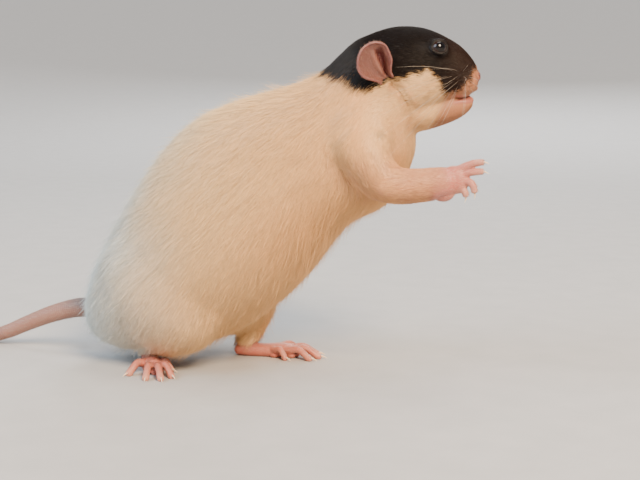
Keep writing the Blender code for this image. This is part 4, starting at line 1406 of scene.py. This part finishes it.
def whisker_material():
    looks = Looks("whisker")
    along = looks.between(looks.attribute("along", "Fac"), 0.0, 0.7)
    shade = looks.mix(along, tuple(WHISKER_ROOT), tuple(WHISKER_TIP))
    colour = looks.mix(looks.mottle(1800.0, out_high=0.3), shade, WHISKER_TINT, "MULTIPLY")
    return looks.finish(Base_Color=colour, Roughness=0.35)


def dress(obj, material, slot, *nodes):
    """Gives a piece its finish and body, and hides the nodes it stands for."""
    obj.data.materials.clear()
    obj.data.materials.append(material)
    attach(obj, "root")
    if nodes:
        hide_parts(*nodes)


# Eyes and lids.

EYE_SIDES = 56
EYE_ROWS = 40
# How far the clear front bulges, how far the middle of the lids' rim stands off the eyeball, and the
# rim's two half widths.
EYE_BULGE = 0.22
RIM_GAP = 0.12
RIM_RADII = (0.20, 0.28)
LID_STATIONS = 72
LID_SIDES = 10


def make_eye(side, name):
    """An eyeball with a clear bulge at its front, and the thin rim of its lids."""
    centre = from_head(mirrored(EYE_CENTRE, side))
    axis = unit(turn_from_head(mirrored(EYE_AXIS, side)))
    first = unit(np.cross(UP, axis))
    second = np.cross(axis, first)
    turns = turns_of(EYE_SIDES)
    rings = []
    for p in np.linspace(0.02, math.pi - 0.02, EYE_ROWS):
        radius = EYE_RADIUS + EYE_BULGE * float(fall(math.degrees(p), 22, 48))
        ring = np.outer(np.cos(turns), first) + np.outer(np.sin(turns), second)
        rings.append(centre + radius * (math.cos(p) * axis + math.sin(p) * ring))
    points, faces = ringed(rings)
    eye = closed_piece(f"eyeball_{name}", points, faces)
    store(eye.data, "facing", unit(points - centre) @ axis)
    bends = turns_of(LID_SIDES)
    points = []
    for turn in turns_of(LID_STATIONS):
        out = math.cos(turn) * first + math.sin(turn) * second
        angle = math.radians(LID_ANGLE + 1.0 + LID_STRETCH * (2 * math.cos(turn) ** 2 - 1))
        spoke = math.cos(angle) * axis + math.sin(angle) * out
        across = math.cos(angle) * out - math.sin(angle) * axis
        middle = centre + spoke * (EYE_RADIUS + RIM_GAP)
        ring = np.outer(RIM_RADII[0] * np.cos(bends), spoke)
        ring += np.outer(RIM_RADII[1] * np.sin(bends), across)
        points.append(middle + ring)
    lid = closed_piece(f"lid_{name}", np.vstack(points), grid_faces(LID_STATIONS, LID_SIDES, True))
    count = LID_STATIONS * LID_SIDES
    store(lid.data, "coat", np.tile(LID_DARK, (count, 1)))
    store(lid.data, "hollow_shade", np.zeros(count))
    return eye, lid


# Ears.

# In the head's frame, on the left side: where the ear grows, which way it points and faces.
EAR_ROOT = (2.0, 13.7, -3.2)
EAR_POINTS = (-0.44, 0.34, 0.83)
EAR_FACES = (0.34, 0.92, -0.16)
EAR_LENGTH = 14.9
EAR_HALF_WIDTH = 6.9
# The root's share of the width, how far the ear leans back and cups, and half its roll in degrees
# from root to top.
EAR_BASE = 0.50
EAR_LEAN = 1.5
EAR_CUP = 3.4
EAR_ROLL = (78.0, 58.0, 34.0, 26.0)
EAR_THICKNESS = 0.7
# The share of its length that goes on below the root, and how steeply that dives into the head.
EAR_SUNK = 0.15
EAR_DIVE = 18.0
EAR_COLUMNS = 64
EAR_ROWS = 60
FURROW_PLACE = 0.54
FURROW_DEPTH = 1.6


def ear_axes(side):
    along = unit(turn_from_head(mirrored(EAR_POINTS, side)))
    faces = turn_from_head(mirrored(EAR_FACES, side))
    faces = unit(faces - along * (faces @ along))
    return along, faces, np.cross(along, faces)


def ear_edge(u, v):
    """0 in the middle of the ear, 1 at its edge."""
    return np.maximum(np.abs(u), np.clip((v - 0.55) / 0.45, 0, 1))


def furrow_share(ahead, v, inner=0.15, outer=0.29):
    """The deep fold that runs down to the ear's opening, just behind its front edge."""
    across = fall(np.abs(ahead - FURROW_PLACE), inner, outer)
    return across * ramp(v, -0.02, 0.12) * fall(v, 0.60, 0.82)


def ridge_share(ahead, v):
    """The low ridge behind the furrow."""
    return bell(ahead - 0.16, 0.12) * ramp(v, 0.05, 0.3) * fall(v, 0.6, 0.85)


def ear_points(u, v, root, along, faces, across, front):
    """Points of the ear's sheet: u from edge to edge, v from root to top."""
    above = np.maximum(v, 0.0)
    wide = EAR_BASE * (1 + 2.4 * (v - above)) + (1 - EAR_BASE) * ramp(v, 0.02, 0.45)
    top = np.clip((v - 0.55) / 0.45, 0, 1)
    half = EAR_HALF_WIDTH * wide * np.sqrt(np.maximum(0.02, 1 - top * top))
    roll = np.radians(np.interp(above * 3, range(4), EAR_ROLL))
    bend = half / roll
    sideways = bend * np.sin(roll * u) - front * EAR_LEAN * np.sin(math.pi * np.minimum(above, 0.75))
    forward = bend * (1 - np.cos(roll * u)) + EAR_CUP * (v * v - 0.35 * v) + EAR_DIVE * (v - above)
    ahead, edge = u * front, ear_edge(u, v)
    forward += 0.4 * ramp(edge, 0.86, 1.0) - FURROW_DEPTH * furrow_share(ahead, v, 0.06, 0.34)
    forward += 0.55 * ridge_share(ahead, v) + 0.14 * np.sin(5.0 * u + 3.0 * v) * (1 - edge)
    return root + np.outer(EAR_LENGTH * v, along) + np.outer(sideways, across) + np.outer(forward, faces)


def make_ear(side, name):
    along, faces, across = ear_axes(side)
    front = 1.0 if across @ turn_from_head((1.0, 0.0, 0.0)) > 0 else -1.0
    root = from_head(mirrored(EAR_ROOT, side))
    us, vs = np.meshgrid(np.linspace(-1, 1, EAR_COLUMNS + 1), np.linspace(-EAR_SUNK, 1, EAR_ROWS + 1))
    us, vs = us.ravel(), vs.ravel()
    points = ear_points(us, vs, root, along, faces, across, front)
    sheet = grid_faces(EAR_ROWS + 1, EAR_COLUMNS + 1, columns_close=False)
    ear = add_object(f"ear_{name}_flesh", mesh_of(f"ear_{name}", points, sheet))
    # Painted shade, deep red, down the furrow to the ear's opening, in colour and in the stored shade.
    deep = furrow_share(us * front, vs)
    colour = blend(EAR_PINK, EAR_RIM, ramp(ear_edge(us, vs), 0.78, 0.92))
    colour = blend(colour, EAR_RIDGE, 0.8 * ridge_share(us * front, vs))
    colour = blend(colour, EAR_BASE_PINK, 0.6 * fall(vs, 0.0, 0.25))
    colour = blend(colour, EAR_FURROW_SHADE, np.clip(1.2 * deep, 0, 1))
    store(ear.data, "coat", colour)
    store(ear.data, "hollow_shade", 0.4 * deep)
    thick = ear.modifiers.new("Thick", "SOLIDIFY")
    thick.thickness = EAR_THICKNESS * MM
    thick.offset = 0.0
    soft = ear.modifiers.new("Soft", "SUBSURF")
    soft.levels = 1
    soft.render_levels = 1
    applied(ear)
    ear.data.shade_smooth()
    return ear


# Paws.

def make_claws(name, paw):
    points, faces = merged(paw.claws)
    claws = closed_piece(name, points, faces)
    reach = np.min([distance(points, tip) for tip in paw.tips], axis=0)
    store(claws.data, "along", np.clip(reach / CLAW_LENGTH, 0, 1))
    return claws


# Tail.

# As the solids' tail: x, y, z, radius.
TAIL = (
    (-38.0, 0.0, 19.6, 4.3), (-45.0, 0.0, 18.6, 4.0), (-54.0, 0.1, 18.0, 3.7), (-65.0, 0.6, 15.0, 3.35),
    (-77.0, 1.6, 10.3, 3.0), (-88.5, 3.0, 5.4, 2.75), (-100.0, 5.0, 2.25, 2.5), (-116.0, 7.6, 1.84, 2.2),
    (-134.0, 8.4, 1.59, 1.9), (-152.0, 6.4, 1.34, 1.6), (-169.0, 1.8, 1.0, 1.2), (-184.0, -4.6, 0.58, 0.7),
)
# The tail's rings: how far apart, stations in each, and how much each one flares.
RING_STEP = 0.95
RING_STATIONS = 4
RING_FLARE = 0.035
TAIL_SIDES = 36
TAIL_TIP = (0.85, 0.6, 0.3)


def tail_line():
    """Evenly spaced points down the tail, with their radii."""
    path = smooth_path(TAIL, 16)
    places = travel(path[:, :3])
    marks = np.linspace(0, places[-1], int(places[-1] / RING_STEP) * RING_STATIONS)
    return np.stack([np.interp(marks, places, path[:, k]) for k in range(4)], 1), marks


def make_tail():
    """A scaly tail whose rings overlap like tiles."""
    line, marks = tail_line()
    phase = (marks / RING_STEP) % 1.0
    radii = line[:, 3] * (1 + RING_FLARE * (phase - 0.5))
    radii[-len(TAIL_TIP):] *= TAIL_TIP
    points, faces = tube(line[:, :3], radii, TAIL_SIDES)
    points[:, 2] = np.maximum(points[:, 2], 0.0)
    tail = closed_piece("tail_flesh", points, faces)
    mesh = tail.data
    ring = np.append(np.repeat(phase, TAIL_SIDES), (0, 0))
    along = np.append(np.repeat(marks / marks[-1], TAIL_SIDES), (0, 1))
    far = np.append(np.repeat(marks, TAIL_SIDES), (0, marks[-1]))
    above = ramp(normals_of(mesh)[:, 2], -0.4, 0.9)
    colour = blend(TAIL_PINK, TAIL_GREY, (0.30 + 0.60 * above) * fall(far, 12, 26))
    colour = blend(colour, TAIL_GREY, 0.25 * above * fall(along, 0.1, 0.6))
    # Painted shade in the seam at the start of each ring: darker grey here, and stored to darken further.
    colour = blend(colour, TAIL_GREY * 0.8, 0.5 * fall(ring, 0.0, 0.3))
    store(mesh, "coat", colour)
    store(mesh, "hollow_shade", 0.4 * fall(ring, 0.0, 0.25))
    return tail


# Short hairs on bare parts, and whiskers.

# Hairs on a square millimetre, their length and width, colour, and rise as a share of their length.
EAR_FUZZ = (3.4, 0.9, 0.07, light(170, 132, 116), 0.35)
PAW_FUZZ = (9.0, 0.9, 0.08, light(214, 168, 150), 0.2)
TAIL_FUZZ = (1.1, 1.7, 0.07, light(176, 156, 142), 0.25)
FUZZ_DEPTH = 0.05
LOWEST_FUZZ = 0.05


def make_fuzz(name, obj, ahead, kind, share=1.0):
    """Fine short hairs over a bare piece, as one coat piece; share is for each of its points."""
    density, length, width, colour, lift = kind
    draw = np.random.default_rng(SEED + len(name))
    roots, ups = scattered(obj.data, np.full(len(obj.data.vertices), density * share), draw)
    count = len(roots)
    way = np.tile(ahead, (count, 1))
    way = unit(way - ups * dots(way, ups)[:, None] + draw.normal(0, 0.16, (count, 3)))
    reach = length * draw.uniform(0.7, 1.25, count)
    tips = roots + way * reach[:, None] + ups * (reach * lift)[:, None]
    tips[:, 2] = np.maximum(tips[:, 2], LOWEST_FUZZ)
    centre = roots.mean(axis=0)
    main = np.linalg.svd(roots - centre, full_matrices=False)[2]
    flat = (roots - centre) @ main.T
    spots = np.stack((np.arctan2(flat[:, 2], flat[:, 1]), flat[:, 0]), 1)
    sizes = width * draw.uniform(0.8, 1.2, count)
    mesh = tuft_mesh(name, roots - ups * FUZZ_DEPTH, tips, ups, sizes, spots)
    tint = colour * draw.uniform(0.8, 1.1, (count, 1))
    store(mesh, "coat", np.repeat(tint, 4, axis=0))
    store(mesh, "along", np.tile(TUFT_ALONG, count))
    return add_object(name, mesh)


WHISKER_SIDES = 4
WHISKER_STATIONS = 12
WHISKER_RADIUS = 0.055
WHISKER_TAPER = 0.90
# The front whisker's length, and how much longer each is than the one before it.
WHISKER_LENGTH = 9.0
WHISKER_LONGER = 5.6
WHISKER_DEPTH = 0.3
WHISKER_ACROSS = np.array((0.31, 0.2, 0.93))


def make_whiskers(side, name, tree):
    """Rows of tapering whiskers from the pad, swept out and a little back, longest at the rear."""
    draw = np.random.default_rng(SEED + 50 + side)
    shapes, along = [], []
    t = np.linspace(0, 1, WHISKER_STATIONS)[:, None]
    for row, place in WHISKERS:
        spot = from_head(mirrored(whisker_root(row, place), side))
        root, up = (found[0] for found in laid(tree, spot[None]))
        length = WHISKER_LENGTH + WHISKER_LONGER * place + draw.uniform(-1.0, 1.0)
        out = turn_from_head((0.34 - 0.34 * place, side * (0.62 - 0.04 * place), 0.10 - 0.20 * row))
        out = unit(unit(out) + 0.25 * up + draw.normal(0, 0.05, 3))
        droop = turn_from_head((-0.45, 0.0, -0.12 - 0.10 * place))
        line = root - up * WHISKER_DEPTH + out * (length * t) + droop * (length * 0.30 * t ** 2)
        radii = WHISKER_RADIUS * (1 - WHISKER_TAPER * t[:, 0])
        shapes.append(tube(line, radii, WHISKER_SIDES, across=WHISKER_ACROSS))
        along.append(np.append(np.repeat(t[:, 0], WHISKER_SIDES), (0, 1)))
    points, faces = merged(shapes)
    whiskers = closed_piece(f"whiskers_{name}", points, faces)
    store(whiskers.data, "along", np.concatenate(along))
    return whiskers


# The studio.

# The camera's turn round the rat and rise above it in degrees, and its distance in metres.
CAMERA_TURN = 18.0
CAMERA_RISE = 8.0
CAMERA_DISTANCE = 0.45
PHOTO_WIDTH = 640
PHOTO_HEIGHT = 480
SIZE_OF_PIXEL = 0.365 * MM
# Where the photo shows the point of the floor that is the origin of the rat's frame.
ORIGIN_PIXEL = (200, 368)
SENSOR = 36.0


def make_camera():
    """The photo's view and scale. Gives back the point that it looks at."""
    turn, rise = math.radians(CAMERA_TURN), math.radians(CAMERA_RISE)
    look = np.array((-math.sin(turn) * math.cos(rise), math.cos(turn) * math.cos(rise), -math.sin(rise)))
    x = (PHOTO_WIDTH / 2 - ORIGIN_PIXEL[0]) * SIZE_OF_PIXEL / math.cos(turn)
    z = (ORIGIN_PIXEL[1] - PHOTO_HEIGHT / 2) * SIZE_OF_PIXEL + x * math.sin(turn) * math.sin(rise)
    target = np.array((x, 0.0, z / math.cos(rise))) + SHIFT * MM
    camera = bpy.data.cameras.new("camera")
    camera.sensor_width = SENSOR
    camera.lens = SENSOR * CAMERA_DISTANCE / (PHOTO_WIDTH * SIZE_OF_PIXEL)
    camera.clip_start = 0.01
    obj = add_object("camera", camera)
    obj.location = target - look * CAMERA_DISTANCE
    obj.rotation_euler = Vector(look).to_track_quat("-Z", "Y").to_euler()
    bpy.context.scene.camera = obj
    return Vector(target)


# Lights: from where, size, power in watts, colour.
LIGHTS = {
    "key": ((0.84, -1.00, 1.00), 0.64, 68.0, (1.0, 0.76, 0.52)),
    "fill": ((-1.15, -0.80, 0.85), 1.20, 27.0, (0.68, 0.84, 1.0)),
    "top": ((0.0, 0.40, 1.70), 1.20, 18.0, (1.0, 0.96, 0.90)),
    "rear": ((-0.20, 1.40, 0.80), 1.00, 16.0, (0.95, 0.97, 1.0)),
}
WORLD_LIGHT = (0.86, 0.87, 0.89)
WORLD_STRENGTH = 0.55
# The floor's section from its middle outwards: how far, how high. It rises slowly all round.
SWEEP = (
    (500, 0), (1000, 0), (1500, 30), (2000, 120), (2600, 300), (3300, 600), (4100, 1050), (5000, 1700),
)
SWEEP_SIDES = 96
# The floor lies this far under the rat. Its two near greys and its far one.
FLOOR_DROP = 0.02
FLOOR_GREYS = ((0.42, 0.415, 0.41), (0.45, 0.445, 0.44))
FLOOR_FAR_GREY = (0.90, 0.895, 0.89)


def make_studio(target):
    """Lamps round the target, an even sky, and a round pale floor that rises far away."""
    for name, (place, size, power, colour) in LIGHTS.items():
        lamp = bpy.data.lights.new(name, "AREA")
        lamp.shape = "DISK"
        lamp.size = size
        lamp.energy = power
        lamp.color = colour
        obj = add_object(f"light_{name}", lamp)
        obj.location = target + Vector(place)
        obj.rotation_euler = (-Vector(place)).to_track_quat("-Z", "Y").to_euler()
    world = bpy.data.worlds.new("studio")
    world.use_nodes = True
    backdrop = world.node_tree.nodes["Background"]
    backdrop.inputs["Color"].default_value = (*WORLD_LIGHT, 1.0)
    backdrop.inputs["Strength"].default_value = WORLD_STRENGTH
    bpy.context.scene.world = world
    turns = turns_of(SWEEP_SIDES)
    rings = []
    for far, high in smooth_path(SWEEP, 4):
        rings.append(np.stack((np.cos(turns) * far, np.sin(turns) * far, np.full(SWEEP_SIDES, high)), 1))
    points = np.vstack([*rings, ((0.0, 0.0, 0.0),)]) - UP * FLOOR_DROP
    faces = [(a, d, c, b) for a, b, c, d in grid_faces(len(rings), SWEEP_SIDES)]
    faces += [(len(points) - 1, i, (i + 1) % SWEEP_SIDES) for i in range(SWEEP_SIDES)]
    floor = add_object("floor", mesh_of("floor", points, faces))
    floor.data.shade_smooth()
    looks = Looks("floor")
    grain = looks.mix(looks.mottle(60.0), *FLOOR_GREYS)
    far = looks.node("ShaderNodeVectorMath", {0: looks.place()}, operation="LENGTH").outputs["Value"]
    shade = looks.mix(looks.between(far, 0.8, 3.2), grain, FLOOR_FAR_GREY)
    floor.data.materials.append(looks.finish(Base_Color=shade, Roughness=0.9))


# The gloss of the pale and the dark fur; then scales in a metre, roughness and glow of bare flesh.
FUR_GLOSS = 0.38
DARK_FUR_GLOSS = 0.06
EAR_LOOKS = (2600.0, 0.5, 0.35)
TAIL_LOOKS = (1500.0, 0.55, 0.1)
LID_LOOKS = (3000.0, 0.75, 0.0)


def main():
    target = make_camera()
    make_studio(target)
    fur, dark_fur = fur_material("fur", FUR_GLOSS), fur_material("dark_fur", DARK_FUR_GLOSS)
    ear_looks = flesh_material("ear", *EAR_LOOKS)
    tail_looks = flesh_material("tail", *TAIL_LOOKS)
    lid_looks = flesh_material("lid", *LID_LOOKS)
    claw_looks, whisker_looks, eye_looks = claw_material(), whisker_material(), eye_material()

    skin = make_skin()
    dress(skin, skin_material(), "white_coat", *FLESH)
    skin_points = points_of(skin.data)
    tree = BVHTree.FromObject(skin, bpy.context.evaluated_depsgraph_get())
    for piece in make_coat(skin, tree):
        if piece.name.startswith("coat_hood"):
            dress(piece, dark_fur, "dark_coat")
        else:
            dress(piece, fur, "white_coat")

    for name, side in (("right", -1), ("left", 1)):
        eye, lid = make_eye(side, name)
        dress(eye, eye_looks, "eye", f"eye_{name}")
        dress(lid, lid_looks, "pink_skin")
        ear = make_ear(side, name)
        dress(ear, ear_looks, "pink_skin", f"ear_{name}")
        along, _, _ = ear_axes(side)
        dress(make_fuzz(f"coat_ear_{name}", ear, along, EAR_FUZZ), fur, "pink_skin")
        dress(make_whiskers(side, name, tree), whisker_looks, "white_coat")

    for name, paw in PAWS.items():
        dress(make_claws(f"claws_{name}", paw), claw_looks, "pink_skin")
        ahead = unit(paw.tips.mean(axis=0) - paw.lines[0][0, :3])
        share = paw_share(paw.gap(skin_points)) * ramp(skin_points[:, 2], 1.5, 3.5)
        dress(make_fuzz(f"coat_{name}", skin, ahead, PAW_FUZZ, share), fur, "white_coat")

    tail = make_tail()
    dress(tail, tail_looks, "tail_skin", "tail_root", "tail_middle", "tail_tip")
    dress(make_fuzz("coat_tail", tail, (-1.0, 0.0, -0.1), TAIL_FUZZ), fur, "tail_skin")


main()
